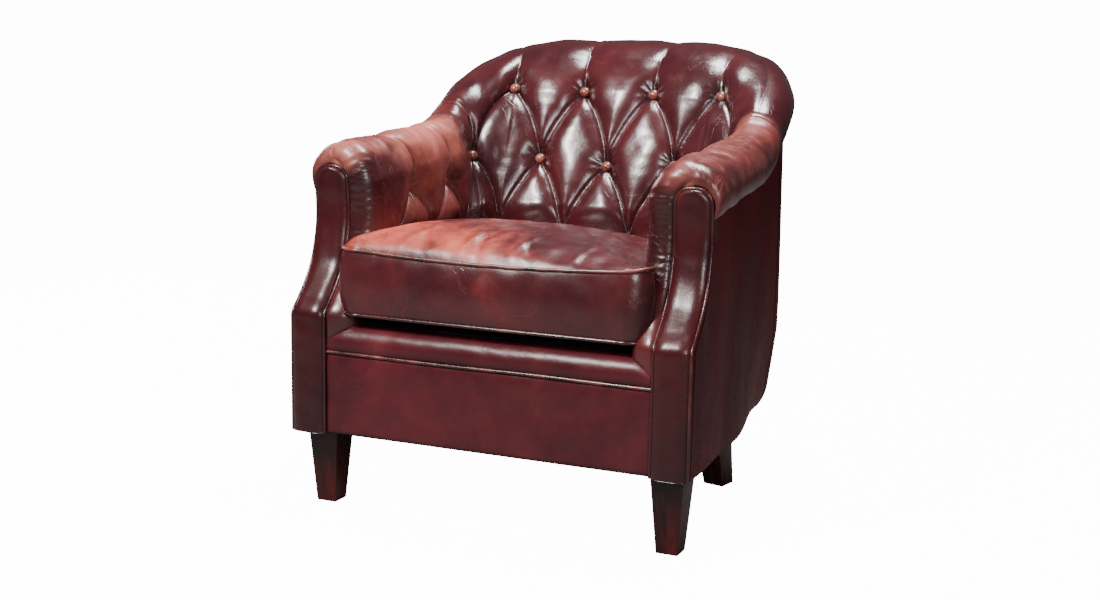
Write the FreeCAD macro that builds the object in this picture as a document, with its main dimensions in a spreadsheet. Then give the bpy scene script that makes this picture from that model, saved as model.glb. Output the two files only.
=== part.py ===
import FreeCAD, Part
import Sketcher
import math
import os

from FreeCAD import Placement, Rotation, Vector

# ---------------------------------------------------------------------------
# Upholstered tub armchair, millimetres.
# +X is the sitter's left, -Y is the front, +Z is up.  Every sub-part is drawn
# with the front of the chair at y = 0, and its Placement moves it forward by
# half the depth, so that the origin is under the middle of the chair.
# ---------------------------------------------------------------------------

DRIVING_SIZES = {
    # overall
    "chair_width": 756,
    "chair_depth": 772,
    "chair_height": 816,
    "hem_height": 137,
    # rolled rim: one roll over arms and back
    "roll_radius": 46,
    "roll_seat_drop": 30,
    "arm_front_crest": 628,
    "arm_mid_crest": 645,
    "arm_rear_crest": 657,
    "arm_rear_setback": 326,
    "shoulder_low_rise": 46,
    "shoulder_low_setback": 226,
    "shoulder_high_drop": 59,
    "shoulder_high_setback": 126,
    "back_side_drop": 19,
    "back_side_setback": 46,
    # plan of the walls
    "side_taper_angle": 3.2,
    "corner_radius": 180,
    "back_bow_radius": 1270,
    "back_lean": 0.2,
    "arm_seam_lead": 20,
    # plan of the seat well between the pads
    "arm_pad_thickness": 34,
    "well_corner_radius": 85,
    "well_bow_radius": 1200,
    "well_waist_height": 500,
    "well_floor_setback": 248,
    "well_waist_setback": 223,
    "well_recline": 0.42,
    "back_pad_overlap": 8,
    # layers of the walls, outwards from the rim's centre line
    "hessian_thickness": 1,
    "frame_thickness": 22,
    "board_thickness": 3,
    "cover_thickness": 3,
    "panel_overhang": 13,
    "rail_band": 45,
    # seat frame
    "rail_base_gap": 6,
    "spring_drop": 20,
    "rail_thickness": 30,
    "block_length": 52,
    "block_height": 56,
    "rear_block_half": 42,
    # facings and their posts
    "facing_inset": 77,
    "facing_width": 65,
    "facing_pad": 12,
    "facing_top": 601,
    "facing_setback": 82,
    "knee_height": 356,
    "sweep_top": 550,
    "post_inset": 5,
    "post_width": 46,
    "post_depth": 45,
    "piping_radius": 3,
    # front border and lip
    "border_thickness": 8,
    "border_top": 284,
    "lip_height": 345,
    "lip_depth": 56,
    "lip_round": 24,
    # seat deck
    "deck_top": 350,
    "deck_bottom": 300,
    "deck_cover_thickness": 2,
    "spring_wire_radius": 1.9,
    "spring_width": 46,
    "spring_pitch": 36,
    "spring_side_margin": 32,
    "clip_wall": 3,
    "clip_length": 14,
    "clip_width": 18,
    "spring_rail_depth": 26,
    "spring_rail_height": 34,
    # loose cushion
    "cushion_clearance": 0.5,
    "cushion_side_gap": 7,
    "cushion_front": 4,
    "cushion_border": 110,
    "cushion_crown": 32,
    "cushion_crown_round": 28,
    "cushion_crown_land": 2,
    "cushion_front_round": 22,
    "cushion_leather": 2,
    "zip_width": 8,
    # legs
    "front_leg_inset": 55,
    "front_leg_y": 54,
    "leg_top": 59,
    "leg_foot": 38,
    "rear_leg_inset": 116,
    "rear_leg_setback": 340,
    "rear_leg_top": 56,
    "rear_leg_foot": 40,
    "rear_leg_rake": 38,
    "rear_leg_splay": 8,
    "rear_leg_turn": 12,
    "glide_radius": 9,
    "glide_height": 3,
    "bolt_radius": 4,
    "bolt_length": 90,
    "bolt_rise": 45,
    "nut_radius": 10,
    "nut_thickness": 3,
    "fastener_clearance": 0.2,
    # buttons
    "button_radius": 9.5,
    "button_height": 7,
    "button_dome_radius": 14.25,
    "button_pitch": 142,
    "corner_button_inset": 33,
    "button_row_top": 715,
    "button_row_middle": 580,
    "button_row_bottom": 460,
    "arm_button_height": 549,
    "arm_button_front_setback": 468,
    "arm_button_rear_setback": 336,
    "tie_radius": 0.8,
    "running_clearance": 0.5,
}

doc = FreeCAD.newDocument("Armchair")
sheet = doc.addObject("Spreadsheet::Sheet", "sizes")
for row, (alias, value) in enumerate(DRIVING_SIZES.items(), start=1):
    sheet.set("A%d" % row, alias)
    sheet.set("B%d" % row, str(value))
    sheet.setAlias("B%d" % row, alias)
doc.recompute()


def size(alias):
    """The sheet's present value of one driving size, in millimetres."""
    return float(sheet.get(alias))


SUB_PARTS = []
SIDES = {"left": 1, "right": -1}


def keep(obj, label):
    """Names a finished sub-part and stands it in the chair's frame."""
    obj.Label = label
    obj.setExpression("Placement.Base.y", "-sizes.chair_depth / 2")
    SUB_PARTS.append(obj)
    return obj


def feature(label, shape):
    """A sub-part whose shape comes from the functions below."""
    obj = doc.addObject("Part::Feature", label)
    obj.Shape = shape
    return keep(obj, label)


def bound(obj, **expressions):
    """Ties the properties of a document object to the sheet."""
    for name, expression in expressions.items():
        obj.setExpression(name.replace("__", "."), expression)
    return obj


def box(name, length, width, height, x, y, z):
    """A Part::Box with its sizes and its corner given as sheet expressions."""
    obj = doc.addObject("Part::Box", name)
    return bound(obj, Length=length, Width=width, Height=height,
                 Placement__Base__x=x, Placement__Base__y=y, Placement__Base__z=z)


def standing_cylinder(radius, height, x, y, z):
    """A plain upright cylinder with the centre of its base at x, y, z."""
    return Part.makeCylinder(radius, height, Vector(x, y, z))


def compound(shapes):
    """Several separate solids of one sub-part."""
    solids = []
    for shape in shapes:
        solids.extend(shape.Solids)
    return Part.makeCompound(solids)


# ---------------------------------------------------------------------------
# Heights of the rim, as a curve over the depth of the chair
# ---------------------------------------------------------------------------

roll_radius = size("roll_radius")
hem = size("hem_height")
depth = size("chair_depth")
rim_front = size("facing_setback") + size("facing_pad")
rim_rear = depth - roll_radius
half_width = size("chair_width") / 2

arm_rear_station = rim_rear - size("arm_rear_setback")
shoulder_low = size("arm_rear_crest") + size("shoulder_low_rise")
crest_points = [
    Vector(0, rim_front, size("arm_front_crest")),
    Vector(0, (rim_front + arm_rear_station) / 2, size("arm_mid_crest")),
    Vector(0, arm_rear_station, size("arm_rear_crest")),
    Vector(0, rim_rear - size("shoulder_low_setback"), shoulder_low),
    Vector(0, rim_rear - size("shoulder_high_setback"),
           size("chair_height") - size("shoulder_high_drop")),
    Vector(0, rim_rear - size("back_side_setback"),
           size("chair_height") - size("back_side_drop")),
    Vector(0, rim_rear, size("chair_height")),
]
crest_curve = Part.BSplineCurve()
crest_curve.interpolate(crest_points)


def crest_height(y):
    """Height of the top of the roll at the depth y."""
    low = crest_curve.FirstParameter
    high = crest_curve.LastParameter
    for _ in range(40):
        middle = (low + high) / 2
        if crest_curve.value(middle).y < y:
            low = middle
        else:
            high = middle
    return crest_curve.value(low).z


def below_crest(drop):
    """Everything lower than the crest curve less a drop, as a wide solid."""
    reach = 2 * depth
    lowered = crest_curve.copy()
    lowered.translate(Vector(0, 0, -drop))
    first = lowered.value(lowered.FirstParameter)
    last = lowered.value(lowered.LastParameter)
    corners = [
        last,
        Vector(0, reach, last.z),
        Vector(0, reach, -reach),
        Vector(0, -reach, -reach),
        Vector(0, -reach, first.z),
        first,
    ]
    edges = [lowered.toShape()]
    for start, end in zip(corners, corners[1:]):
        edges.append(Part.makeLine(start, end))
    face = Part.Face(Part.Wire(edges))
    face.translate(Vector(-reach, 0, 0))
    return face.extrude(Vector(2 * reach, 0, 0))


# ---------------------------------------------------------------------------
# Plans: straight tapering sides, round corners and a gently bowed back
# ---------------------------------------------------------------------------


class Plan:
    """A tub-shaped plan whose back slides rearwards as it rises."""

    def __init__(self, front_half, front_y, corner_radius, bow_radius, rear_heights):
        self.front_half = front_half
        self.front_y = front_y
        self.corner_radius = corner_radius
        self.bow_radius = bow_radius
        self.rear_heights = rear_heights
        self.taper = math.radians(size("side_taper_angle"))
        reference = self.corner_y(size("arm_front_crest"), 0)
        run = reference - front_y
        self.corner_x = (front_half - run * math.tan(self.taper)
                         - corner_radius / math.cos(self.taper))

    def rear(self, height):
        """Depth of the middle of the back at a height."""
        pairs = list(zip(self.rear_heights, self.rear_heights[1:]))
        for (low, low_y), (high, high_y) in pairs:
            if height <= high or (high, high_y) == self.rear_heights[-1]:
                return low_y + (height - low) * (high_y - low_y) / (high - low)
        return low_y

    def corner_y(self, height, corner_x):
        """Depth of the centre of the round corner at a height."""
        spread = self.bow_radius - self.corner_radius
        return self.rear(height) - self.bow_radius + math.sqrt(spread ** 2 - corner_x ** 2)

    def points(self, height, offset, front_y):
        """Key points of the right-hand half of the outline, front to middle."""
        centre = Vector(self.corner_x, self.corner_y(height, self.corner_x), height)
        bow_centre = Vector(0, self.rear(height) - self.bow_radius, height)
        radius = self.corner_radius + offset
        joint = centre - bow_centre
        joint.normalize()
        join_angle = math.atan2(joint.y, joint.x)
        middle_angle = (self.taper + join_angle) / 2
        side_end = centre + radius * Vector(math.cos(self.taper), math.sin(self.taper), 0)
        corner_mid = centre + radius * Vector(math.cos(middle_angle), math.sin(middle_angle), 0)
        corner_end = centre + radius * joint
        back_mid = bow_centre + (self.bow_radius + offset) * Vector(0, 1, 0)
        run = (side_end.y - front_y) / math.cos(self.taper)
        front = side_end + run * Vector(math.sin(self.taper), -math.cos(self.taper), 0)
        return front, side_end, corner_mid, corner_end, back_mid

    def edges(self, height, offset, front_y):
        """The outline from the +X front end round the back to the -X front end."""
        front, side_end, corner_mid, corner_end, back_mid = self.points(height, offset, front_y)

        def mirrored(point):
            return Vector(-point.x, point.y, point.z)

        return [
            Part.makeLine(front, side_end),
            Part.Arc(side_end, corner_mid, corner_end).toShape(),
            Part.Arc(corner_end, back_mid, mirrored(corner_end)).toShape(),
            Part.Arc(mirrored(corner_end), mirrored(corner_mid), mirrored(side_end)).toShape(),
            Part.makeLine(mirrored(side_end), mirrored(front)),
        ]

    def side_x(self, height, offset, y):
        """Half width of the straight side at the depth y."""
        return self.points(height, offset, y)[0].x

    def filled(self, heights, offset, front_y):
        """A solid of the whole plan through the given heights."""
        wires = []
        for height in heights:
            edges = self.edges(height, offset, front_y)
            closing = Part.makeLine(edges[-1].Vertexes[-1].Point, edges[0].Vertexes[0].Point)
            wires.append(Part.Wire(edges + [closing]))
        return Part.makeLoft(wires, True, True)

    def wall(self, heights, inner, outer, front_y):
        """A wall between two offsets of the plan, open at the front."""
        outside = self.filled(heights, outer, front_y)
        inside = self.filled(heights, inner, front_y)
        return outside.cut(inside)


lean = size("back_lean")
rim_height = size("chair_height") - roll_radius
rim_plan = Plan(half_width - roll_radius, rim_front, size("corner_radius"),
                size("back_bow_radius"),
                [(0, rim_rear - lean * rim_height), (rim_height, rim_rear)])

waist = size("well_waist_height")
well_floor_rear = rim_rear - size("well_floor_setback")
well_waist_rear = rim_rear - size("well_waist_setback")
well_top = size("chair_height") + roll_radius
well_plan = Plan(half_width - roll_radius - size("arm_pad_thickness"), rim_front,
                 size("well_corner_radius"), size("well_bow_radius"),
                 [(size("deck_bottom"), well_floor_rear),
                  (waist, well_waist_rear),
                  (well_top, well_waist_rear + (well_top - waist) * size("well_recline"))])


def split_line(height):
    """Depth of the seam between arm and back at a height."""
    return rim_plan.corner_y(height, rim_plan.corner_x) - size("arm_seam_lead")


def side_slab(points, x_low, x_high):
    """A solid from an outline in the side view, between two values of x."""
    corners = [Vector(x_low, y, z) for y, z in points]
    face = Part.Face(Part.makePolygon(corners + [corners[0]]))
    return face.extrude(Vector(x_high - x_low, 0, 0))


arm_zone = side_slab([(-depth, 0), (split_line(0), 0),
                      (split_line(2 * depth), 2 * depth), (-depth, 2 * depth)],
                     -depth, depth)

# ---------------------------------------------------------------------------
# Facings: the scroll-shaped front ends of the arms
# ---------------------------------------------------------------------------

facing_pad = size("facing_pad")
post_depth = size("post_depth")
knee = size("knee_height")
sweep_top = size("sweep_top")
setback = size("facing_setback")
sweep_rise = sweep_top - knee
sweep_radius = (setback ** 2 + sweep_rise ** 2) / (2 * setback)


def facing_face(push, top):
    """Edges of the front of a facing, pushed back by a distance."""
    angle = math.asin(sweep_rise / sweep_radius) / 2
    centre = Vector(0, setback - sweep_radius + push, sweep_top)
    middle = centre + sweep_radius * Vector(0, math.cos(angle), -math.sin(angle))
    start = Vector(0, push, hem)
    knee_point = Vector(0, push, knee)
    sweep_end = Vector(0, setback + push, sweep_top)
    end = Vector(0, setback + push, top)
    return [
        Part.makeLine(start, knee_point),
        Part.Arc(knee_point, middle, sweep_end).toShape(),
        Part.makeLine(sweep_end, end),
    ]


def facing_slab(push, thickness, top, x_low, x_high):
    """A slab that follows the facing's scroll, of a thickness front to back."""
    front = facing_face(push, top)
    rear = facing_face(push + thickness, top)
    sides = [
        Part.makeLine(front[0].Vertexes[0].Point, rear[0].Vertexes[0].Point),
        Part.makeLine(front[-1].Vertexes[-1].Point, rear[-1].Vertexes[-1].Point),
    ]
    wire = Part.Wire(Part.__sortEdges__(front + rear + sides))
    face = Part.Face(wire)
    face.translate(Vector(x_low, 0, 0))
    return face.extrude(Vector(x_high - x_low, 0, 0))


front_trim = facing_slab(facing_pad - 2 * depth, 2 * depth, 2 * depth, -depth, depth)
front_trim = front_trim.fuse(Part.makeBox(2 * depth, 2 * depth, hem + 1,
                                          Vector(-depth, facing_pad - 2 * depth, 0)))

inner_half = half_width - size("facing_inset")
facing_width = size("facing_width")
facing_top = size("facing_top")
arch_radius = facing_width / 2
piping_radius = size("piping_radius")


def arched(side, radius, top):
    """A tall upright pillar with a round top, wide enough for one facing."""
    centre_x = side * (inner_half + facing_width / 2)
    pillar = Part.makeBox(2 * radius, 2 * depth, top - radius,
                          Vector(centre_x - radius, -depth, 0))
    crown = Part.makeCylinder(radius, 2 * depth, Vector(centre_x, -depth, top - radius),
                              Vector(0, 1, 0))
    return pillar.fuse(crown)


def facing_piping_path(side):
    """The welt's line: up one edge, over the arch and down the other."""
    inner_x = side * (inner_half + piping_radius)
    outer_x = side * (inner_half + facing_width - piping_radius)
    turn = arch_radius - piping_radius
    shoulder = facing_top - arch_radius
    rise = facing_face(piping_radius, shoulder)
    up = []
    down = []
    for edge in rise:
        first = edge.copy()
        first.translate(Vector(inner_x, 0, 0))
        up.append(first)
        second = edge.copy()
        second.translate(Vector(outer_x, 0, 0))
        down.append(second)
    middle_x = (inner_x + outer_x) / 2
    arch_y = setback + piping_radius
    arch = Part.Arc(Vector(inner_x, arch_y, shoulder),
                    Vector(middle_x, arch_y, shoulder + turn),
                    Vector(outer_x, arch_y, shoulder)).toShape()
    return Part.Wire(up + [arch] + down[::-1])


def swept(path, radius):
    """A round cord of a radius along a path of lines and arcs."""
    start = path.OrderedVertexes[0].Point
    first = path.OrderedEdges[0]
    direction = first.tangentAt(first.FirstParameter)
    ring = Part.Wire(Part.makeCircle(radius, start, direction))
    pipe = Part.BRepOffsetAPI.MakePipeShell(path)
    pipe.setTransitionMode(2)
    pipe.add(ring)
    pipe.build()
    pipe.makeSolid()
    return pipe.shape()


post_shapes = {}
facing_shapes = {}
for name, side in SIDES.items():
    x_near = side * inner_half
    x_far = side * (inner_half + facing_width)
    slab = facing_slab(piping_radius, facing_pad - piping_radius, facing_top,
                       min(x_near, x_far), max(x_near, x_far))
    slab = slab.common(arched(side, arch_radius, facing_top))
    piping = swept(facing_piping_path(side), piping_radius)
    pad = slab.cut(piping)
    facing_shapes[name] = slab
    feature("facing_pad_" + name, pad)
    feature("facing_piping_" + name, piping)
    post_near = side * (inner_half + size("post_inset"))
    post_far = post_near + side * size("post_width")
    post = facing_slab(facing_pad, post_depth, sweep_top + roll_radius,
                       min(post_near, post_far), max(post_near, post_far))
    floor = Part.makeBox(2 * depth, 2 * depth, hem + size("rail_base_gap"),
                         Vector(-depth, -depth, 0))
    post = post.cut(floor).common(below_crest(roll_radius + size("roll_seat_drop")
                                              + size("running_clearance")))
    post_shapes[name] = post

# ---------------------------------------------------------------------------
# Rolled rim
# ---------------------------------------------------------------------------


def rim_point(kind, share):
    """A point of the roll's centre line, on one stretch of its plan."""
    height = size("arm_mid_crest") - roll_radius
    point = Vector(0, rim_front, height)
    for _ in range(30):
        front, side_end, corner_mid, corner_end, back_mid = rim_plan.points(height, 0, rim_front)
        if kind == "side":
            point = front + share * (side_end - front)
        elif kind == "corner":
            arc = Part.Arc(side_end, corner_mid, corner_end)
            point = arc.value(arc.FirstParameter + share * (arc.LastParameter - arc.FirstParameter))
        else:
            far_end = Vector(-corner_end.x, corner_end.y, corner_end.z)
            arc = Part.Arc(corner_end, back_mid, far_end)
            point = arc.value(arc.FirstParameter + share * (arc.LastParameter - arc.FirstParameter))
        height = (height + crest_height(point.y) - roll_radius) / 2
    return Vector(point.x, point.y, height)


def rim_half():
    """Points of the roll's centre line from the +X front to the middle."""
    points = []
    for step in range(5):
        points.append(rim_point("side", step / 5))
    for step in range(7):
        points.append(rim_point("corner", step / 7))
    for step in range(3):
        points.append(rim_point("back", step / 4))
    return points


right_half = rim_half()
rim_line = right_half + [Vector(-p.x, p.y, p.z) for p in right_half[-2::-1]]


def roll_section(index):
    """The roll's round section at one point of its centre line."""
    before = rim_line[max(index - 1, 0)]
    after = rim_line[min(index + 1, len(rim_line) - 1)]
    along = after - before
    if index in (0, len(rim_line) - 1):
        along = Vector(0, 1 if index == 0 else -1, 0)
    along.normalize()
    across = along.cross(Vector(0, 0, 1))
    across.normalize()
    ring = Part.Wire(Part.makeCircle(roll_radius))
    ring.Placement = Placement(rim_line[index], Rotation(across, Vector(0, 0, 1), along, "ZXY"))
    return ring


whole_roll = Part.makeLoft([roll_section(i) for i in range(len(rim_line))], True, True)
clearance = size("running_clearance")
seat_of_roll = below_crest(roll_radius + size("roll_seat_drop"))
top_of_walls = below_crest(roll_radius + size("roll_seat_drop") + clearance)
roll_on_seat = whole_roll.cut(seat_of_roll)
left_half_space = Part.makeBox(depth, 4 * depth, 4 * depth, Vector(0, -2 * depth, -depth))
right_half_space = Part.makeBox(depth, 4 * depth, 4 * depth, Vector(-depth, -2 * depth, -depth))
half_spaces = {"left": left_half_space, "right": right_half_space}

feature("back_roll", roll_on_seat.cut(arm_zone))
for name in SIDES:
    feature("arm_roll_" + name, roll_on_seat.common(arm_zone).common(half_spaces[name]))

# ---------------------------------------------------------------------------
# Walls: covers, boards, rails, posts and hessian, all from the rim's plan
# ---------------------------------------------------------------------------

cover_outer = roll_radius - size("panel_overhang")
cover_inner = cover_outer - size("cover_thickness")
board_outer = cover_inner - clearance
board_inner = board_outer - size("board_thickness")
frame_outer = board_inner - clearance
frame_inner = frame_outer - size("frame_thickness")
rail_base = hem + size("rail_base_gap")
rail_top = size("deck_bottom") - size("spring_drop")
roof = size("chair_height")


def wall_piece(inner, outer, low, high, trimmed):
    """A layer of the wall between two offsets and two heights, under the roll."""
    layer = rim_plan.wall([low, high], inner, outer, 0)
    layer = layer.common(top_of_walls).cut(front_trim)
    for other in trimmed:
        layer = layer.cut(other)
    return layer


def arm_side(layer, name):
    """The part of a wall layer that belongs to one arm."""
    return layer.common(arm_zone).common(half_spaces[name])


posts = list(post_shapes.values())
covers = wall_piece(cover_inner, cover_outer, hem, roof, [])
boards = wall_piece(board_inner, board_outer, rail_base, roof, posts)
lower_rails = wall_piece(frame_inner, frame_outer, rail_base, rail_top, posts)
band_floor = below_crest(roll_radius + size("roll_seat_drop") + size("rail_band"))
upper_rails = wall_piece(frame_inner, frame_outer, rail_base, roof, posts + [band_floor])
hessian_outer = frame_inner - clearance
hessian_inner = hessian_outer - size("hessian_thickness")
hessian = wall_piece(hessian_inner, hessian_outer, rail_top, roof, posts)

feature("outside_back_cover", covers.cut(arm_zone))
feature("back_board", boards.cut(arm_zone))
feature("back_rail", lower_rails.cut(arm_zone))
feature("crest_rail", upper_rails.cut(arm_zone))
feature("back_hessian", hessian.cut(arm_zone))
for name in SIDES:
    feature("outside_arm_cover_" + name, arm_side(covers, name))
    feature("arm_board_" + name, arm_side(boards, name))
    feature("side_rail_" + name, arm_side(lower_rails, name))
    feature("arm_rail_" + name, arm_side(upper_rails, name))
    feature("arm_hessian_" + name, arm_side(hessian, name))


def leaning_post(start, width):
    """A back post between the lower and the upper rails, leaning with the wall."""
    layer = rim_plan.wall([rail_top, roof], frame_inner, frame_outer, 0)
    near_low = split_line(rail_top) + start
    near_high = split_line(roof) + start
    zone = side_slab([(near_low, rail_top), (near_low + width, rail_top),
                      (near_high + width, roof), (near_high, roof)], -depth, depth)
    return layer.common(zone).common(band_floor)


back_posts = leaning_post(size("frame_thickness"), size("post_width"))
for name in SIDES:
    feature("back_post_" + name, back_posts.common(half_spaces[name]))

# ---------------------------------------------------------------------------
# Inside pads
# ---------------------------------------------------------------------------

deck_bottom = size("deck_bottom")
pad_floor = rail_top + 2 * size("spring_wire_radius") + size("clip_wall") + clearance
pad_block = rim_plan.filled([pad_floor, roof], hessian_inner - clearance, 0)
well = well_plan.filled([deck_bottom - depth / 4, waist, well_top], 0, -depth)
pad_block = pad_block.cut(well).cut(front_trim)
for post in posts:
    pad_block = pad_block.cut(post)
lip_rear = facing_pad - size("border_thickness") + size("lip_depth")
lip_notch = Part.makeBox(2 * (inner_half + clearance), depth + lip_rear + clearance,
                         size("lip_height") + clearance,
                         Vector(-inner_half - clearance, -depth, 0))
arm_pads = pad_block.common(arm_zone).common(top_of_walls).cut(lip_notch)
back_pad = pad_block.cut(arm_zone)
back_pad = back_pad.common(below_crest(roll_radius - size("back_pad_overlap")))
lowered_roll = roll_on_seat.copy()
lowered_roll.translate(Vector(0, 0, -clearance))
back_pad = back_pad.cut(lowered_roll)

# ---------------------------------------------------------------------------
# Buttons and the twines that pull them in
# ---------------------------------------------------------------------------

button_radius = size("button_radius")
button_height = size("button_height")
dome_radius = size("button_dome_radius")
pitch = size("button_pitch")
corner_button_x = (half_width - roll_radius - size("arm_pad_thickness")
                   - size("corner_button_inset"))


def well_surface(x, height):
    """The seat well's face at one place, and its direction into the pad."""
    rear = well_plan.rear(height)
    ring = Part.Wire(well_plan.edges(height, 0, 0))
    probe = Part.makeLine(Vector(x, rear / 2, height), Vector(x, 2 * rear, height))
    point = ring.distToShape(probe)[1][0][0]
    slope = size("well_recline") if height > waist else 0
    into = Vector(0, 1, -slope)
    if abs(x) > well_plan.corner_x:
        centre = Vector(math.copysign(well_plan.corner_x, x),
                        well_plan.corner_y(height, well_plan.corner_x), height)
        into = point - centre
        into.normalize()
        into.z = -slope * into.y
    into.normalize()
    return point, into


def button_solid(point, into):
    """A covered button with its domed head standing out of the pad."""
    head = point - into * (button_height / 2)
    shank = Part.makeCylinder(button_radius, button_height, head, into)
    dome = Part.makeSphere(dome_radius, head + into * dome_radius, into)
    return shank.common(dome)


def tie_solid(point, into, target):
    """A twine from a button back to the hessian behind the pad."""
    start = point + into * (button_height / 2)
    line = Part.makeCylinder(size("tie_radius"), depth, start, into)
    return line.common(target)


CORNER_ROW_COUNT = 5
back_places = []
for count, height in ((4, size("button_row_top")), (5, size("button_row_middle")),
                      (4, size("button_row_bottom"))):
    for index in range(count):
        x = (index - (count - 1) / 2) * pitch
        if count == CORNER_ROW_COUNT:
            x *= corner_button_x / (2 * pitch)
        back_places.append(well_surface(x, height))

back_buttons = [button_solid(point, into) for point, into in back_places]
back_core = pad_block.cut(arm_zone)
back_ties = [tie_solid(point, into, back_core) for point, into in back_places]
back_pad = back_pad.cut(compound(back_buttons + back_ties))
feature("inside_back_pad", back_pad)
feature("back_buttons", compound(back_buttons))
all_ties = list(back_ties)

for name, side in SIDES.items():
    pad = arm_pads.common(half_spaces[name]).cut(compound(back_buttons))
    places = []
    for setback_alias in ("arm_button_front_setback", "arm_button_rear_setback"):
        y = rim_rear - size(setback_alias)
        height = size("arm_button_height")
        places.append((Vector(side * well_plan.side_x(height, 0, y), y, height),
                       Vector(side, 0, 0)))
    buttons = [button_solid(point, into) for point, into in places]
    ties = [tie_solid(point, into, pad) for point, into in places]
    feature("inside_arm_pad_" + name, pad.cut(compound(buttons + ties)))
    feature("arm_buttons_" + name, compound(buttons))
    all_ties.extend(ties)
feature("button_ties", compound(all_ties))

# ---------------------------------------------------------------------------
# Front: rail, border, welt and lip
# ---------------------------------------------------------------------------

FACING_INNER = "(sizes.chair_width / 2 - sizes.facing_inset)"
front_rail = box("front_rail", "2 * (%s + sizes.post_inset)" % FACING_INNER,
                 "sizes.rail_thickness",
                 "sizes.deck_bottom - sizes.spring_drop - sizes.hem_height - sizes.rail_base_gap",
                 "-(%s + sizes.post_inset)" % FACING_INNER,
                 "sizes.facing_pad - sizes.chair_depth / 2",
                 "sizes.hem_height + sizes.rail_base_gap")
front_rail.Label = "front_rail"
SUB_PARTS.append(front_rail)


def rectangle_body(label, role, low_x, low_y, high_x, high_y, length):
    """A PartDesign body: one rectangle on an origin plane, padded by a length."""
    body = doc.addObject("PartDesign::Body", label)
    sketch = body.newObject("Sketcher::SketchObject", label + "_profile")
    plane = [item for item in body.Origin.OriginFeatures if item.Role == role][0]
    sketch.AttachmentSupport = (plane, [""])
    sketch.MapMode = "FlatFace"
    corners = [(low_x, low_y), (high_x, low_y), (high_x, high_y), (low_x, high_y)]
    start = [(1, 1), (2, 1), (2, 2), (1, 2)]
    for index in range(4):
        begin = start[index]
        end = start[(index + 1) % 4]
        sketch.addGeometry(Part.LineSegment(Vector(begin[0], begin[1], 0),
                                            Vector(end[0], end[1], 0)))
    for index in range(4):
        sketch.addConstraint(Sketcher.Constraint("Coincident", index, 2, (index + 1) % 4, 1))
    for index, (x, y) in enumerate(corners):
        across = sketch.addConstraint(
            Sketcher.Constraint("DistanceX", -1, 1, index, 1, start[index][0]))
        sketch.setExpression("Constraints[%d]" % across, x)
        along = sketch.addConstraint(
            Sketcher.Constraint("DistanceY", -1, 1, index, 1, start[index][1]))
        sketch.setExpression("Constraints[%d]" % along, y)
    pad = body.newObject("PartDesign::Pad", label + "_pad")
    pad.Profile = sketch
    pad.setExpression("Length", length)
    return body, pad


border_y = "sizes.facing_pad"
border_half = "(%s - sizes.running_clearance)" % FACING_INNER
border, border_pad = rectangle_body(
    "front_border", "XY_Plane", "-" + border_half, border_y + " - sizes.border_thickness",
    border_half, border_y, "sizes.border_top - sizes.hem_height - sizes.piping_radius")
border.setExpression("Placement.Base.z", "sizes.hem_height")
keep(border, "front_border")

lip, lip_pad = rectangle_body(
    "lip_roll", "XY_Plane",
    "-" + border_half, "sizes.facing_pad - sizes.border_thickness",
    border_half, "sizes.facing_pad - sizes.border_thickness + sizes.lip_depth",
    "sizes.lip_height - sizes.border_top - sizes.piping_radius")
lip.setExpression("Placement.Base.z", "sizes.border_top + sizes.piping_radius")
doc.recompute()
top_edges = []
for number, edge in enumerate(lip_pad.Shape.Edges, start=1):
    box_of_edge = edge.BoundBox
    is_long = box_of_edge.XLength > inner_half
    is_top = box_of_edge.ZMin > lip_pad.Shape.BoundBox.ZMax - 1
    if is_long and is_top:
        top_edges.append("Edge%d" % number)
lip_fillet = lip.newObject("PartDesign::Fillet", "lip_rounding")
lip_fillet.Base = (lip_pad, top_edges)
lip_fillet.setExpression("Radius", "sizes.lip_round")
keep(lip, "lip_roll")

border_welt = doc.addObject("Part::Cylinder", "border_piping")
border_welt.Placement.Rotation = Rotation(Vector(0, 1, 0), 90)
bound(border_welt, Radius="sizes.piping_radius",
      Height="2 * " + border_half,
      Placement__Base__x="-" + border_half,
      Placement__Base__z="sizes.border_top")
border_welt.setExpression(
    "Placement.Base.y",
    "sizes.facing_pad - sizes.border_thickness + sizes.piping_radius - sizes.chair_depth / 2")
border_welt.Label = "border_piping"
SUB_PARTS.append(border_welt)

# ---------------------------------------------------------------------------
# Seat deck: spring rail, springs, clips, hessian, pad, cover and dust cover
# ---------------------------------------------------------------------------

rail_rear_face = facing_pad + size("rail_thickness")
spring_rail_front = well_floor_rear + clearance
spring_rail_half = rim_plan.side_x(rail_top, frame_inner, spring_rail_front
                                   + size("spring_rail_depth"))
spring_rail = Part.makeBox(2 * spring_rail_half, size("spring_rail_depth"),
                           size("spring_rail_height"),
                           Vector(-spring_rail_half, spring_rail_front,
                                  rail_top - size("spring_rail_height")))
spring_rail = spring_rail.common(rim_plan.filled([rail_base, rail_top],
                                                 frame_inner - clearance, 0))
feature("rear_spring_rail", spring_rail)

wire_radius = size("spring_wire_radius")
spring_width = size("spring_width")
spring_pitch = size("spring_pitch")
clip_height = 2 * wire_radius + size("clip_wall")
clip_length = size("clip_length")
clip_width = size("clip_width")
spring_height = rail_top + clip_height / 2
spring_front = rail_rear_face - clip_length
spring_back = spring_rail_front + clip_length
spring_runs = int((spring_back - spring_front) // (spring_pitch / 2))
spring_step = (spring_back - spring_front) / spring_runs
SPRING_COUNT = 5
spring_reach = inner_half - size("spring_side_margin") - spring_width
spring_gap = 2 * spring_reach / (SPRING_COUNT - 1)


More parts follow.
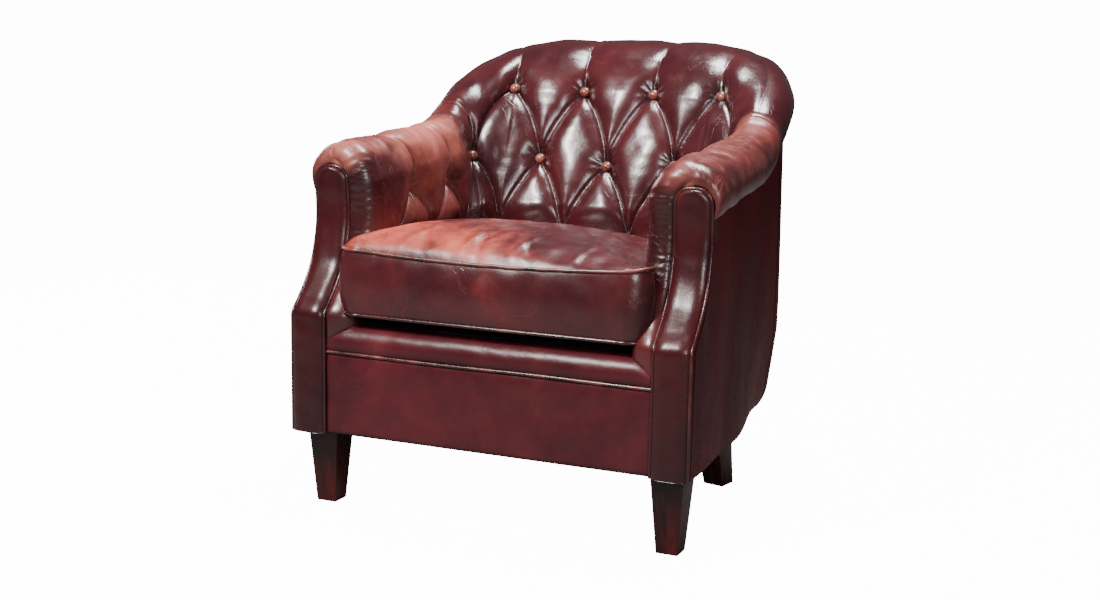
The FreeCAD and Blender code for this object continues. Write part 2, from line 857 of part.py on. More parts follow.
def zigzag(centre_x):
    """The line of one sinuous spring: cross runs joined by half circles."""
    edges = []
    turn = spring_step / 2
    reach = spring_width / 2 - turn
    for run in range(spring_runs + 1):
        y = spring_front + run * spring_step
        direction = 1 if run % 2 == 0 else -1
        start = Vector(centre_x - direction * reach, y, spring_height)
        end = Vector(centre_x + direction * reach, y, spring_height)
        edges.append(Part.makeLine(start, end))
        if run < spring_runs:
            middle = Vector(centre_x + direction * (reach + turn), y + turn, spring_height)
            far = Vector(centre_x + direction * reach, y + spring_step, spring_height)
            edges.append(Part.Arc(end, middle, far).toShape())
    return Part.Wire(edges)


spring_places = [(index - (SPRING_COUNT - 1) / 2) * spring_gap for index in range(SPRING_COUNT)]
springs = [swept(zigzag(x), wire_radius) for x in spring_places]
feature("seat_springs", compound(springs))

clips = []
for x in spring_places:
    for near in (spring_front, spring_back):
        clip = Part.makeBox(clip_width, clip_length, clip_height,
                            Vector(x - clip_width / 2, near - clip_length / 2, rail_top))
        bore = Part.makeCylinder(wire_radius + size("fastener_clearance"), spring_width,
                                 Vector(x - spring_width / 2, near, spring_height),
                                 Vector(1, 0, 0))
        clips.append(clip.cut(bore))
feature("spring_clips", compound(clips))

deck_cover_base = size("deck_top") - size("deck_cover_thickness")
deck_front = lip_rear + clearance


def well_slab(low, high, offset, front_y):
    """A flat slab that fills the seat well's plan at its lower height."""
    return well_plan.filled([low, high], offset, front_y)


hessian_thickness = size("hessian_thickness")
deck_hessian = well_slab(deck_bottom - hessian_thickness, deck_bottom, -clearance, deck_front)
feature("deck_hessian", deck_hessian)
feature("deck_pad", well_slab(deck_bottom, deck_cover_base, -clearance, deck_front))
feature("deck_cover", well_slab(deck_cover_base, size("deck_top"), -clearance, deck_front))

# ---------------------------------------------------------------------------
# Legs, glides, bolts, nuts and blocks
# ---------------------------------------------------------------------------

glide_height = size("glide_height")
front_leg_x = half_width - size("front_leg_inset")
rear_leg_x = half_width - size("rear_leg_inset")
rear_leg_y = depth - size("rear_leg_setback")
leg_shapes = {}
bolt_holes = []
bolts = []
nuts = []
glides = []


def tapered_leg(centre_x, centre_y, top, foot, foot_shift_x, foot_shift_y, turn):
    """A square leg that tapers and may lean, turned about the upright."""

    def square(half, shift_x, shift_y, height):
        """The leg's square outline at a height."""
        corners = [Vector(-half, -half, 0), Vector(half, -half, 0),
                   Vector(half, half, 0), Vector(-half, half, 0)]
        turned = [Rotation(Vector(0, 0, 1), turn).multVec(corner) for corner in corners]
        placed = [corner + Vector(centre_x + shift_x, centre_y + shift_y, height)
                  for corner in turned]
        return Part.makePolygon(placed + [placed[0]])

    return Part.makeLoft([square(foot / 2, foot_shift_x, foot_shift_y, glide_height),
                          square(top / 2, 0, 0, rail_base)], True, True)


for name, side in SIDES.items():
    front_leg = (side * front_leg_x, size("front_leg_y"), size("leg_top"),
                 size("leg_foot"), 0, 0, 0)
    rear_leg = (side * rear_leg_x, rear_leg_y, size("rear_leg_top"),
                size("rear_leg_foot"), side * size("rear_leg_splay"),
                size("rear_leg_rake"), -side * size("rear_leg_turn"))
    for place, values in (("front", front_leg), ("rear", rear_leg)):
        leg = tapered_leg(*values)
        x, y = values[0], values[1]
        base = rail_base - size("bolt_rise")
        bolt = standing_cylinder(size("bolt_radius"), size("bolt_length"), x, y, base)
        hole = standing_cylinder(size("bolt_radius") + size("fastener_clearance"),
                                 size("bolt_length"), x, y, base)
        bolts.append(bolt)
        bolt_holes.append(hole)
        leg_shapes[place + "_leg_" + name] = leg.cut(hole)
        glides.append(standing_cylinder(size("glide_radius"), glide_height,
                                        x + values[4], y + values[5], 0))

for label, shape in leg_shapes.items():
    feature(label, shape)
feature("leg_glides", compound(glides))
feature("leg_bolts", compound(bolts))

block_height = size("block_height")
block_length = size("block_length")
corner_blocks = []
inside_rails = rim_plan.filled([rail_base, rail_top], frame_inner - clearance, 0)
holes = compound(bolt_holes)
for name, side in SIDES.items():
    x_post = side * (inner_half + size("post_inset"))
    x_far = x_post - side * block_length
    corner_blocks.append(Part.makeBox(block_length, block_length, block_height,
                                      Vector(min(x_post, x_far), rail_rear_face, rail_base)))
    half = size("rear_block_half")
    rear_block = Part.makeBox(2 * half, 2 * half, block_height,
                              Vector(side * rear_leg_x - half, rear_leg_y - half, rail_base))
    reach = Part.makeBox(2 * half, 2 * half, block_height,
                         Vector(side * (rear_leg_x + half) - half, rear_leg_y - half, rail_base))
    rear_block = rear_block.fuse(reach).removeSplitter().common(inside_rails).cut(holes)
    corner_blocks.append(rear_block)
    ring = standing_cylinder(size("nut_radius"), size("nut_thickness"), side * rear_leg_x,
                             rear_leg_y, rail_base + block_height)
    nuts.append(ring.cut(holes))
feature("corner_blocks", compound(corner_blocks))
feature("leg_nuts", compound(nuts))
for name, post in post_shapes.items():
    feature("front_post_" + name, post.cut(holes))

dust_cover = rim_plan.filled([hem, hem + hessian_thickness], cover_inner - clearance,
                             facing_pad + clearance)
for values in leg_shapes.values():
    zone = values.BoundBox
    hole = Part.makeBox(zone.XLength + 2 * clearance, zone.YLength + 2 * clearance, hem * 2,
                        Vector(zone.XMin - clearance, zone.YMin - clearance, 0))
    dust_cover = dust_cover.cut(hole)
feature("dust_cover", dust_cover)

# ---------------------------------------------------------------------------
# Loose seat cushion: foam core, leather panels, border, welts and zip
# ---------------------------------------------------------------------------

cushion_floor = size("deck_top") + size("cushion_clearance")
cushion_edge = cushion_floor + size("cushion_border")
leather = size("cushion_leather")
cushion_front = size("cushion_front")


def cushion_outline(offset):
    """The cushion's plan, drawn in from the seat well by its clearance."""
    low = well_plan.filled([cushion_floor, cushion_floor + 1],
                           offset - size("cushion_side_gap") - piping_radius,
                           cushion_front - offset)
    bottom = [face for face in low.Faces if face.BoundBox.ZMax < cushion_floor + 0.5][0]
    return bottom


def cushion_slab(offset, low, high):
    """An upright slab of the cushion's plan, its front corners rounded."""
    face = cushion_outline(offset)
    slab = face.extrude(Vector(0, 0, high - low))
    slab.translate(Vector(0, 0, low - cushion_floor))
    fronts = []
    for edge in slab.Edges:
        zone = edge.BoundBox
        upright = zone.ZLength > 0.9 * (high - low) and zone.YLength < 0.01
        if upright and zone.YMax < cushion_front - offset + 0.1:
            fronts.append(edge)
    return slab.makeFillet(size("cushion_front_round") + offset, fronts)


core = cushion_slab(-leather - clearance, cushion_floor + leather + clearance,
                    cushion_edge - leather - clearance)
hollow = cushion_slab(-leather, cushion_floor, cushion_edge)
border_ring = cushion_slab(0, cushion_floor + leather, cushion_edge - leather).cut(hollow)
bottom_panel = cushion_slab(0, cushion_floor, cushion_floor + leather)
crown = cushion_slab(0, cushion_edge - leather, cushion_edge - leather + size("cushion_crown"))
rim_edges = [edge for edge in crown.Edges
             if edge.BoundBox.ZMin > cushion_edge - leather + size("cushion_crown") - 0.1]
crown_limit = size("cushion_crown") - size("cushion_crown_land")
crown = crown.makeFillet(min(size("cushion_crown_round"), crown_limit), rim_edges)


def welt(height):
    """A round welt that lies against the cushion's edge at a height."""
    outline = cushion_slab(0, height, height + 1)
    ring = [face for face in outline.Faces if face.BoundBox.ZMax < height + 0.5][0]
    return swept(Part.Wire(ring.OuterWire), piping_radius)


top_welt = welt(cushion_edge - leather)
bottom_welt = welt(cushion_floor + piping_radius)
zip_low = cushion_floor + size("cushion_border") / 2 - size("zip_width") / 2
zip_half = size("well_corner_radius")
zip_zone = Part.makeBox(2 * zip_half, depth, size("zip_width"),
                        Vector(-zip_half, depth / 4, zip_low))
zip_strip = border_ring.common(zip_zone)
border_ring = border_ring.cut(zip_zone)

feature("cushion_core", core)
feature("cushion_border", border_ring.cut(top_welt).cut(bottom_welt))
feature("cushion_top", crown.cut(top_welt))
feature("cushion_bottom", bottom_panel.cut(bottom_welt))
feature("cushion_welt_top", top_welt.cut(core))
feature("cushion_welt_bottom", bottom_welt.cut(core))
feature("cushion_zip", zip_strip)

# ---------------------------------------------------------------------------
# Checks, and one STEP file for each sub-part
# ---------------------------------------------------------------------------

doc.recompute()
problems = []
for obj in doc.Objects:
    if "Invalid" in obj.State or "Error" in obj.State:
        problems.append("%s is %s" % (obj.Name, obj.State))
for obj in SUB_PARTS:
    if obj.Shape.isNull() or not obj.Shape.isValid() or not obj.Shape.Solids:
        problems.append("%s has no valid solid" % obj.Label)
if problems:
    raise RuntimeError("; ".join(problems))

os.makedirs("parts", exist_ok=True)
for obj in SUB_PARTS:
    obj.Shape.exportStep(os.path.join("parts", obj.Label + ".step"))
    print("%-28s %2d solids %10.0f mm3" % (obj.Label, len(obj.Shape.Solids), obj.Shape.Volume))
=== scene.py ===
"""Looks of a leather button-back tub armchair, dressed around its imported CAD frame.

Lengths are metres. Inside the classes a depth is counted back from the front face of the
chair, and `place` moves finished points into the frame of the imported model.
"""

from __future__ import annotations

import logging
import math
from contextlib import contextmanager
from dataclasses import dataclass, field
from enum import Enum
from functools import cache
from typing import Callable, Iterator, Sequence

import bpy
import numpy as np
from mathutils import Matrix, Vector
from mathutils.geometry import tessellate_polygon


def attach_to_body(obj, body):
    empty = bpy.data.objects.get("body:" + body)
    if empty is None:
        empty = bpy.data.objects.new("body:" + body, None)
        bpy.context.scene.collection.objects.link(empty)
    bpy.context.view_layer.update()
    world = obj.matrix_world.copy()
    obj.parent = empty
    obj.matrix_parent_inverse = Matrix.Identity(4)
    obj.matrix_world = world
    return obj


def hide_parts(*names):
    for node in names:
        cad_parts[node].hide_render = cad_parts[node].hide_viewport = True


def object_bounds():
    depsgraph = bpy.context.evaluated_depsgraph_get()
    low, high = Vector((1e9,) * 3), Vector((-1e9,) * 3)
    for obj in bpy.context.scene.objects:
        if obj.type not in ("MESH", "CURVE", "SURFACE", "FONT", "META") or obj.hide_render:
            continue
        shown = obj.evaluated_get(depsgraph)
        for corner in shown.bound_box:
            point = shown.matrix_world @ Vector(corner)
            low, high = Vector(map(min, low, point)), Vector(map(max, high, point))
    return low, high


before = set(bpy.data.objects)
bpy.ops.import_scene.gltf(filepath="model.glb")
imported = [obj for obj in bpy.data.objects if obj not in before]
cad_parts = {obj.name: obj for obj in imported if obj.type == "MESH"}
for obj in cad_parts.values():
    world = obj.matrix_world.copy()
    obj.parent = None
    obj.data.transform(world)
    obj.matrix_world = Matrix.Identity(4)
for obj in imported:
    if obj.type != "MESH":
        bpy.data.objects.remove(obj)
CAD_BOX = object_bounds()
FRONT_Y = CAD_BOX[0].y
LOG = logging.getLogger("armchair")
MERGE = 0.00002  # points closer than this are one point
FAR = 9.0  # a gap wider than any on the chair
Points = np.ndarray
Colour = tuple[float, float, float]
Piece = bpy.types.Object
Socket = bpy.types.NodeSocket


class Body(str, Enum):
    """The moving bodies of the chair."""

    CHAIR = "chair"
    CUSHION = "cushion"


class Side(Enum):
    """The sitter's left and right, as the sign of X."""

    LEFT = 1
    RIGHT = -1

    @property
    def word(self) -> str:
        """The side as it stands in node names."""
        return self.name.lower()


# ---- curves and unevenness


class SmoothCurve:
    """A curve through given points that never overshoots them."""

    def __init__(self, knots: Sequence[float], values: Sequence[float]) -> None:
        """Fits the slopes.

        Args:
            knots: where the curve is known, rising.
            values: what it is there.
        """
        self.knots = np.asarray(knots, float)
        self.values = np.asarray(values, float)
        step = np.diff(self.knots)
        rise = np.diff(self.values) / step
        slopes = np.zeros(len(self.knots))
        slopes[0], slopes[-1] = rise[0], rise[-1]
        for i in range(1, len(self.knots) - 1):
            if rise[i - 1] * rise[i] > 0:
                a, b = 2 * step[i] + step[i - 1], step[i] + 2 * step[i - 1]
                slopes[i] = (a + b) / (a / rise[i - 1] + b / rise[i])
        self.slopes = slopes

    def __call__(self, where: Points | float) -> Points:
        """The curve's value; past its ends it runs on in a straight line.

        Args:
            where: places along the curve.

        Returns:
            The values there.
        """
        where = np.asarray(where, float)
        i = np.clip(np.searchsorted(self.knots, where) - 1, 0, len(self.knots) - 2)
        step = self.knots[i + 1] - self.knots[i]
        t = (where - self.knots[i]) / step
        tc = np.clip(t, 0, 1)
        inside = (
            (1 + 2 * tc) * (1 - tc) ** 2 * self.values[i]
            + tc * (1 - tc) ** 2 * step * self.slopes[i]
            + tc**2 * (3 - 2 * tc) * self.values[i + 1]
            + tc**2 * (tc - 1) * step * self.slopes[i + 1]
        )
        before = np.where(t < 0, t * step * self.slopes[i], 0)
        after = np.where(t > 1, (t - 1) * step * self.slopes[i + 1], 0)
        return inside + before + after


class Ripple:
    """Smooth unevenness: a seeded sum of sine waves in many directions."""

    def __init__(self, seed: int, wavelength: float, waves: int = 12) -> None:
        """Draws the waves.

        Args:
            seed: makes the draw repeatable.
            wavelength: the middling distance from crest to crest.
            waves: how many sine waves are added.
        """
        draw = np.random.default_rng(seed)
        turn = draw.normal(size=(waves, 3))
        turn /= np.linalg.norm(turn, axis=1)[:, None]
        self.waves = turn * (2 * math.pi / (wavelength * draw.uniform(0.6, 1.7, (waves, 1))))
        self.phases = draw.uniform(0, 2 * math.pi, waves)

    def __call__(self, points: Points) -> Points:
        """The unevenness at each point, about -1 to 1."""
        total = np.sin(points @ self.waves.T + self.phases).sum(-1)
        return total / math.sqrt(len(self.phases) * 1.3)


def swell(x: Points, power: float = 2.0) -> Points:
    """A cushion's edge: rises steeply from 0 and levels off at 1."""
    x = np.clip(x, 0, 1)
    return (1 - (1 - x) ** power) ** (1 / power)


def ease(x: Points) -> Points:
    """A smooth step from 0 to 1."""
    x = np.clip(x, 0, 1)
    return x * x * (3 - 2 * x)


def ramp(x: Points, start: float, width: float) -> Points:
    """A smooth step that begins at start and takes width; a width below 0 makes it fall."""
    return ease((x - start) / width)


def bell(x: Points, centre: float, width: float) -> Points:
    """A bell curve: 1 at its centre, fading to both sides."""
    return np.exp(-(((x - centre) / width) ** 2))


def mix(a: Points, b: Points, share: Points) -> Points:
    """a where share is 0, b where it is 1."""
    return a + (b - a) * share


def bezier(t: Points, p0: Points, p1: Points, p2: Points, p3: Points) -> Points:
    """A curve from p0 to p3, drawn towards p1 and p2 on the way."""
    return (1 - t) ** 3 * p0 + 3 * t * (1 - t) ** 2 * p1 + 3 * t**2 * (1 - t) * p2 + t**3 * p3


def unit(vectors: Points) -> Points:
    """The vectors, each made one long."""
    return vectors / np.linalg.norm(vectors, axis=-1, keepdims=True)


def length_along(line: Points) -> Points:
    """The distance along a line of points, from its first."""
    return np.r_[0, np.cumsum(np.linalg.norm(np.diff(line, axis=0), axis=1))]


# ---- mesh helpers


def place(points: Points) -> Points:
    """Points with their depth counted from the front face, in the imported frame."""
    return points + np.array([0.0, FRONT_Y, 0.0])


def signed_volume(points: Points, faces: Sequence[Sequence[int]]) -> float:
    """The volume that the faces close in, negative if they point inwards.

    Args:
        points: n x 3.
        faces: corner indices.

    Returns:
        Cubic metres.
    """
    total = 0.0
    by_size: dict[int, list[Sequence[int]]] = {}
    for face in faces:
        by_size.setdefault(len(face), []).append(face)
    for size, group in by_size.items():
        corner = points[np.asarray(group)]
        for k in range(1, size - 1):
            cross = np.cross(corner[:, k], corner[:, k + 1])
            total += float((corner[:, 0] * cross).sum())
    return total / 6


def add_object(name: str, data: bpy.types.ID) -> Piece:
    """A new object in the scene.

    Args:
        name: its name.
        data: its mesh, curve, light or camera.

    Returns:
        The object.
    """
    made = bpy.data.objects.new(name, data)
    bpy.context.scene.collection.objects.link(made)
    return made


def corners_of(piece: Piece) -> Points:
    """The points of a mesh, n x 3.

    Args:
        piece: a mesh object.

    Returns:
        Its points, in its own coordinates.
    """
    flat = np.empty(len(piece.data.vertices) * 3)
    piece.data.vertices.foreach_get("co", flat)
    return flat.reshape(-1, 3)


def put_marks(piece: Piece, **marks: Points | float) -> None:
    """Writes a number per point for the finish to read, by attribute name."""
    for mark, values in marks.items():
        layer = piece.data.attributes.new(mark, "FLOAT", "POINT")
        numbers = np.broadcast_to(np.ravel(values), len(piece.data.vertices))
        layer.data.foreach_set("value", numbers.astype(np.float32))


def skin(name: str, points: Points, faces: Sequence[Sequence[int]], **marks: Points) -> Piece:
    """Makes a smooth mesh object from points and faces.

    Args:
        name: the piece's name.
        points: n x 3, depth counted from the front face.
        faces: corner indices, turned outwards here if need be.
        marks: a number per point for the finish to read, by attribute name.

    Returns:
        The object, at the origin.
    """
    if signed_volume(points - points.mean(0), faces) < 0:
        faces = [tuple(reversed(face)) for face in faces]
    mesh = bpy.data.meshes.new(name)
    mesh.from_pydata(place(points).tolist(), [], [tuple(map(int, face)) for face in faces])
    mesh.polygons.foreach_set("use_smooth", np.ones(len(mesh.polygons), bool))
    piece = add_object(name, mesh)
    put_marks(piece, **marks)
    mesh.validate()
    return piece


def loop_faces(rows: int, columns: int) -> list[tuple[int, ...]]:
    """Four-sided faces round a grid of points whose last row joins the first.

    Args:
        rows: points round each section.
        columns: sections.

    Returns:
        Four corner indices for each face.
    """
    low, along = np.meshgrid(np.arange(rows), np.arange(columns - 1), indexing="ij")
    low, high = low * columns + along, (low + 1) % rows * columns + along
    return [tuple(q) for q in np.stack([low, high, high + 1, low + 1], -1).reshape(-1, 4).tolist()]


def lofted(name: str, sections: Points, **marks: Points) -> Piece:
    """A closed piece through closed sections.

    Args:
        name: the piece's name.
        sections: rows x columns x 3; each column is one closed section.
        marks: rows x columns numbers for the finish.

    Returns:
        The piece, capped at both ends.
    """
    rows, columns = sections.shape[:2]
    flat = sections.reshape(-1, 3)
    faces = loop_faces(rows, columns)
    for column, neighbour in ((0, 1), (columns - 1, columns - 2)):
        ring = sections[:, column]
        away = ring.mean(0) - sections[:, neighbour].mean(0)
        flat_cap = tessellate_polygon([[Vector(p) for p in ring]])
        cap = [tuple(k * columns + column for k in triangle) for triangle in flat_cap]
        a, b, c = flat[list(cap[0])]
        forward = away if column else -away
        turn = np.cross(ring - ring.mean(0), np.roll(ring, -1, 0) - ring.mean(0)).sum(0)
        if np.sign(np.cross(b - a, c - a) @ away) != -np.sign(turn @ forward):
            cap = [tuple(reversed(triangle)) for triangle in cap]
        faces += cap
    return skin(name, flat, faces, **marks)


def grid_normals(points: Points) -> Points:
    """Unit normals of a grid of points, rows x columns x 3.

    Args:
        points: rows x columns x 3.

    Returns:
        A unit vector for each point.
    """
    across = np.gradient(points, axis=1)
    along = np.gradient(points, axis=0)
    normal = np.cross(along, across)
    length = np.linalg.norm(normal, axis=-1, keepdims=True)
    return normal / np.maximum(length, 1e-9)


def blur(values: Points) -> Points:
    """Softens a grid of numbers.

    Args:
        values: rows x columns.

    Returns:
        The same grid, each number drawn to its four neighbours.
    """
    wide = np.pad(values, 1, mode="edge")
    above, below = wide[:-2, 1:-1], wide[2:, 1:-1]
    before, after = wide[1:-1, :-2], wide[1:-1, 2:]
    return (4 * values + above + below + before + after) / 8


def deselect() -> None:
    """Leaves nothing selected and nothing in edit mode."""
    if bpy.context.mode != "OBJECT":
        bpy.ops.object.mode_set(mode="OBJECT")
    bpy.ops.object.select_all(action="DESELECT")


def activate(piece: Piece) -> None:
    """Makes one piece the selected and active one."""
    deselect()
    piece.select_set(True)
    bpy.context.view_layer.objects.active = piece


@contextmanager
def editing(piece: Piece, merge: bool = False) -> Iterator[None]:
    """Edit mode on one piece, with all of it selected, after its doubled points are merged if asked.

    Args:
        piece: the object to work on.
        merge: whether points in one place become one first.
    """
    activate(piece)
    bpy.ops.object.mode_set(mode="EDIT")
    bpy.ops.mesh.select_all(action="SELECT")
    if merge:
        bpy.ops.mesh.remove_doubles(threshold=MERGE)
    yield
    bpy.ops.object.mode_set(mode="OBJECT")


def copy_of_node(node: str, ending: str) -> Piece:
    """A CAD node's shape as a piece of its own, still in loose triangles."""
    return add_object(f"{node}_{ending}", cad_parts[node].data.copy())


def apply_modifiers(piece: Piece) -> None:
    """Makes every modifier of a piece part of its mesh."""
    activate(piece)
    for modifier in list(piece.modifiers):
        bpy.ops.object.modifier_apply(modifier=modifier.name)


def cord_of(name: str, path: Points, radius: float, closed: bool, **marks: float) -> Piece:
    """A round cord along a path, such as piping or a welt.

    Args:
        name: the piece's name.
        path: n x 3 points, depth counted from the front face.
        radius: the cord's radius.
        closed: whether its ends meet.
        marks: numbers for the finish, slightly uneven along the cord.

    Returns:
        The cord as a mesh.
    """
    curve = bpy.data.curves.new(name, "CURVE")
    curve.dimensions, curve.twist_mode = "3D", "MINIMUM"
    curve.bevel_depth, curve.bevel_resolution = radius, 3
    curve.use_fill_caps = not closed
    line = curve.splines.new("POLY")
    line.points.add(len(path) - 1)
    line.points.foreach_set("co", np.c_[place(path), np.ones(len(path))].ravel())
    line.use_cyclic_u = closed
    activate(add_object(name, curve))
    bpy.ops.object.convert(target="MESH")
    piece = bpy.context.view_layer.objects.active
    piece.name = piece.data.name = name
    with editing(piece, merge=True):
        bpy.ops.mesh.normals_make_consistent(inside=False)
    bpy.ops.object.shade_smooth_by_angle(angle=math.radians(50))
    uneven = 0.12 * Ripple(71, 0.04)(corners_of(piece))
    put_marks(piece, **{mark: np.clip(value + uneven, 0, 1) for mark, value in marks.items()})
    return piece


def attach(
    piece: Piece, finish: Finish, *replaced: str, fill: float | None = None, body: Body = Body.CHAIR
) -> None:
    """Gives a finished piece its body and finish, and hides the CAD nodes it stands for.

    Args:
        piece: the finished object.
        finish: what it is covered with or made of.
        replaced: the CAD nodes it stands for.
        fill: not used.
        body: the body it moves with.
    """
    piece.data.materials.clear()
    piece.data.materials.append(made_of(finish))
    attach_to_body(piece, body.value)
    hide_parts(*replaced)
    count = len(piece.data.vertices)
    LOG.info("%s: %d points, rides on %s, stands for %s", piece.name, count, body.value, replaced)


# ---- finishes


def srgb(red: int, green: int, blue: int) -> Colour:
    """A screen colour as the linear numbers a shader takes."""
    shares = (c / 255 for c in (red, green, blue))
    return tuple(((c + 0.055) / 1.055) ** 2.4 if c > 0.04 else c / 12.92 for c in shares)


class Nodes:
    """Builds one material's nodes with short calls."""

    def __init__(self, name: str) -> None:
        """Starts an empty material with a shader and an output."""
        self.material = bpy.data.materials.new(name)
        self.material.use_nodes = True
        self.tree = self.material.node_tree
        self.tree.nodes.clear()
        out = self.add_node("OutputMaterial", {})
        self.shader = self.add_node("BsdfPrincipled", {})
        self.feed(out.inputs["Surface"], self.shader.outputs["BSDF"])
        self.place = self.add_node("TexCoord", {}).outputs["Object"]

    def add_node(self, kind: str, feeds: dict, **settings: object) -> bpy.types.Node:
        """A new node with its settings, and its inputs linked or set.

        Args:
            kind: Blender's name for it, without the start that all of them share.
            feeds: a socket or a number for each input, by name or place.
            settings: the node's own choices.

        Returns:
            The node.
        """
        node = self.tree.nodes.new(f"ShaderNode{kind}")
        for key, choice in settings.items():
            setattr(node, key, choice)
        for key, value in feeds.items():
            self.feed(node.inputs[key], value)
        return node

    def feed(self, socket: Socket, value: object) -> None:
        """Links a socket or sets its number."""
        if isinstance(value, Socket):
            self.tree.links.new(value, socket)
        elif isinstance(value, tuple) and socket.type == "RGBA":
            socket.default_value = (*value, 1.0)
        else:
            socket.default_value = value

    def stretch(self, scale: Colour) -> Socket:
        """The object's coordinates, scaled differently along each axis."""
        return self.add_node("Mapping", {"Vector": self.place, "Scale": scale}).outputs["Vector"]

    def noise(
        self, scale: float, detail: float = 3.0, rough: float = 0.5, bend: float = 0.0,
        where: Socket | None = None,
    ) -> Socket:
        """Cloudy noise from 0 to 1."""
        feeds = {"Vector": where or self.place, "Scale": scale, "Detail": detail, "Roughness": rough}
        return self.add_node("TexNoise", {**feeds, "Distortion": bend}).outputs["Fac"]

    def cells(self, scale: float, where: Socket | None = None) -> Socket:
        """Distance within a field of random cells."""
        feeds = {"Vector": where or self.place, "Scale": scale}
        return self.add_node("TexVoronoi", feeds).outputs["Distance"]

    def warp(self, amount: float, scale: float, where: Socket | None = None) -> Socket:
        """Coordinates pushed about by noise, so that lines wander.

        Args:
            amount: how far they are pushed.
            scale: how fine the noise is.
            where: coordinates to push, else the object's.

        Returns:
            The pushed coordinates.
        """
        where = where or self.place
        feeds = {"Vector": where, "Scale": scale, "Detail": 2.0}
        push = self.add_node("TexNoise", feeds).outputs["Color"]
        feeds = {0: push, 1: (amount, amount, amount), 2: where}
        return self.add_node("VectorMath", feeds, operation="MULTIPLY_ADD").outputs["Vector"]

    def span(self, value: Socket, low: float, high: float) -> Socket:
        """Maps a range of numbers to 0 to 1, smoothly, and keeps within it."""
        feeds = {"Value": value, "From Min": low, "From Max": high}
        return self.add_node("MapRange", feeds, interpolation_type="SMOOTHSTEP").outputs["Result"]

    def math(self, operation: str, a: object, b: object = 0.0, clamp: bool = False) -> Socket:
        """One sum of two numbers."""
        choices = {"operation": operation, "use_clamp": clamp}
        return self.add_node("Math", {0: a, 1: b}, **choices).outputs["Value"]

    def add(self, a: object, b: object) -> Socket:
        """Two numbers added."""
        return self.math("ADD", a, b)

    def times(self, a: object, b: object) -> Socket:
        """Two numbers multiplied."""
        return self.math("MULTIPLY", a, b)

    def rest(self, share: Socket) -> Socket:
        """What a share leaves of 1."""
        return self.math("SUBTRACT", 1.0, share, True)

    def blend(self, share: Socket, a: object, b: object) -> Socket:
        """Mixes two colours."""
        feeds = {"Factor": share, "A": a, "B": b}
        return self.add_node("Mix", feeds, data_type="RGBA").outputs["Result"]

    def mark(self, name: str) -> Socket:
        """A number that the mesh carries at each point."""
        return self.add_node("Attribute", {}, attribute_name=name).outputs["Fac"]

    def bump(
        self, height: Socket, distance: float, strength: float, under: Socket | None = None
    ) -> Socket:
        """Tilts the surface by a height, over an earlier bump.

        Args:
            height: what stands out.
            distance: how far, in metres.
            strength: from 0 to 1.
            under: an earlier bump.

        Returns:
            The tilted normal.
        """
        feeds = {"Strength": strength, "Distance": distance, "Height": height}
        if under is not None:
            feeds["Normal"] = under
        return self.add_node("Bump", feeds).outputs["Normal"]

    def finish(
        self, colour: Socket, roughness: object, normal: Socket | None = None, **numbers: object
    ) -> bpy.types.Material:
        """Feeds the shader.

        Args:
            colour: the base colour.
            roughness: a number or a socket.
            normal: the bumped normal.
            numbers: shader sockets that are the same all over, by name with _ for a space.

        Returns:
            The finished material.
        """
        inputs = self.shader.inputs
        self.feed(inputs["Base Color"], colour)
        self.feed(inputs["Roughness"], roughness)
        if normal is not None:
            self.feed(inputs["Normal"], normal)
        for key, number in numbers.items():
            inputs[key.replace("_", " ")].default_value = number
        return self.material


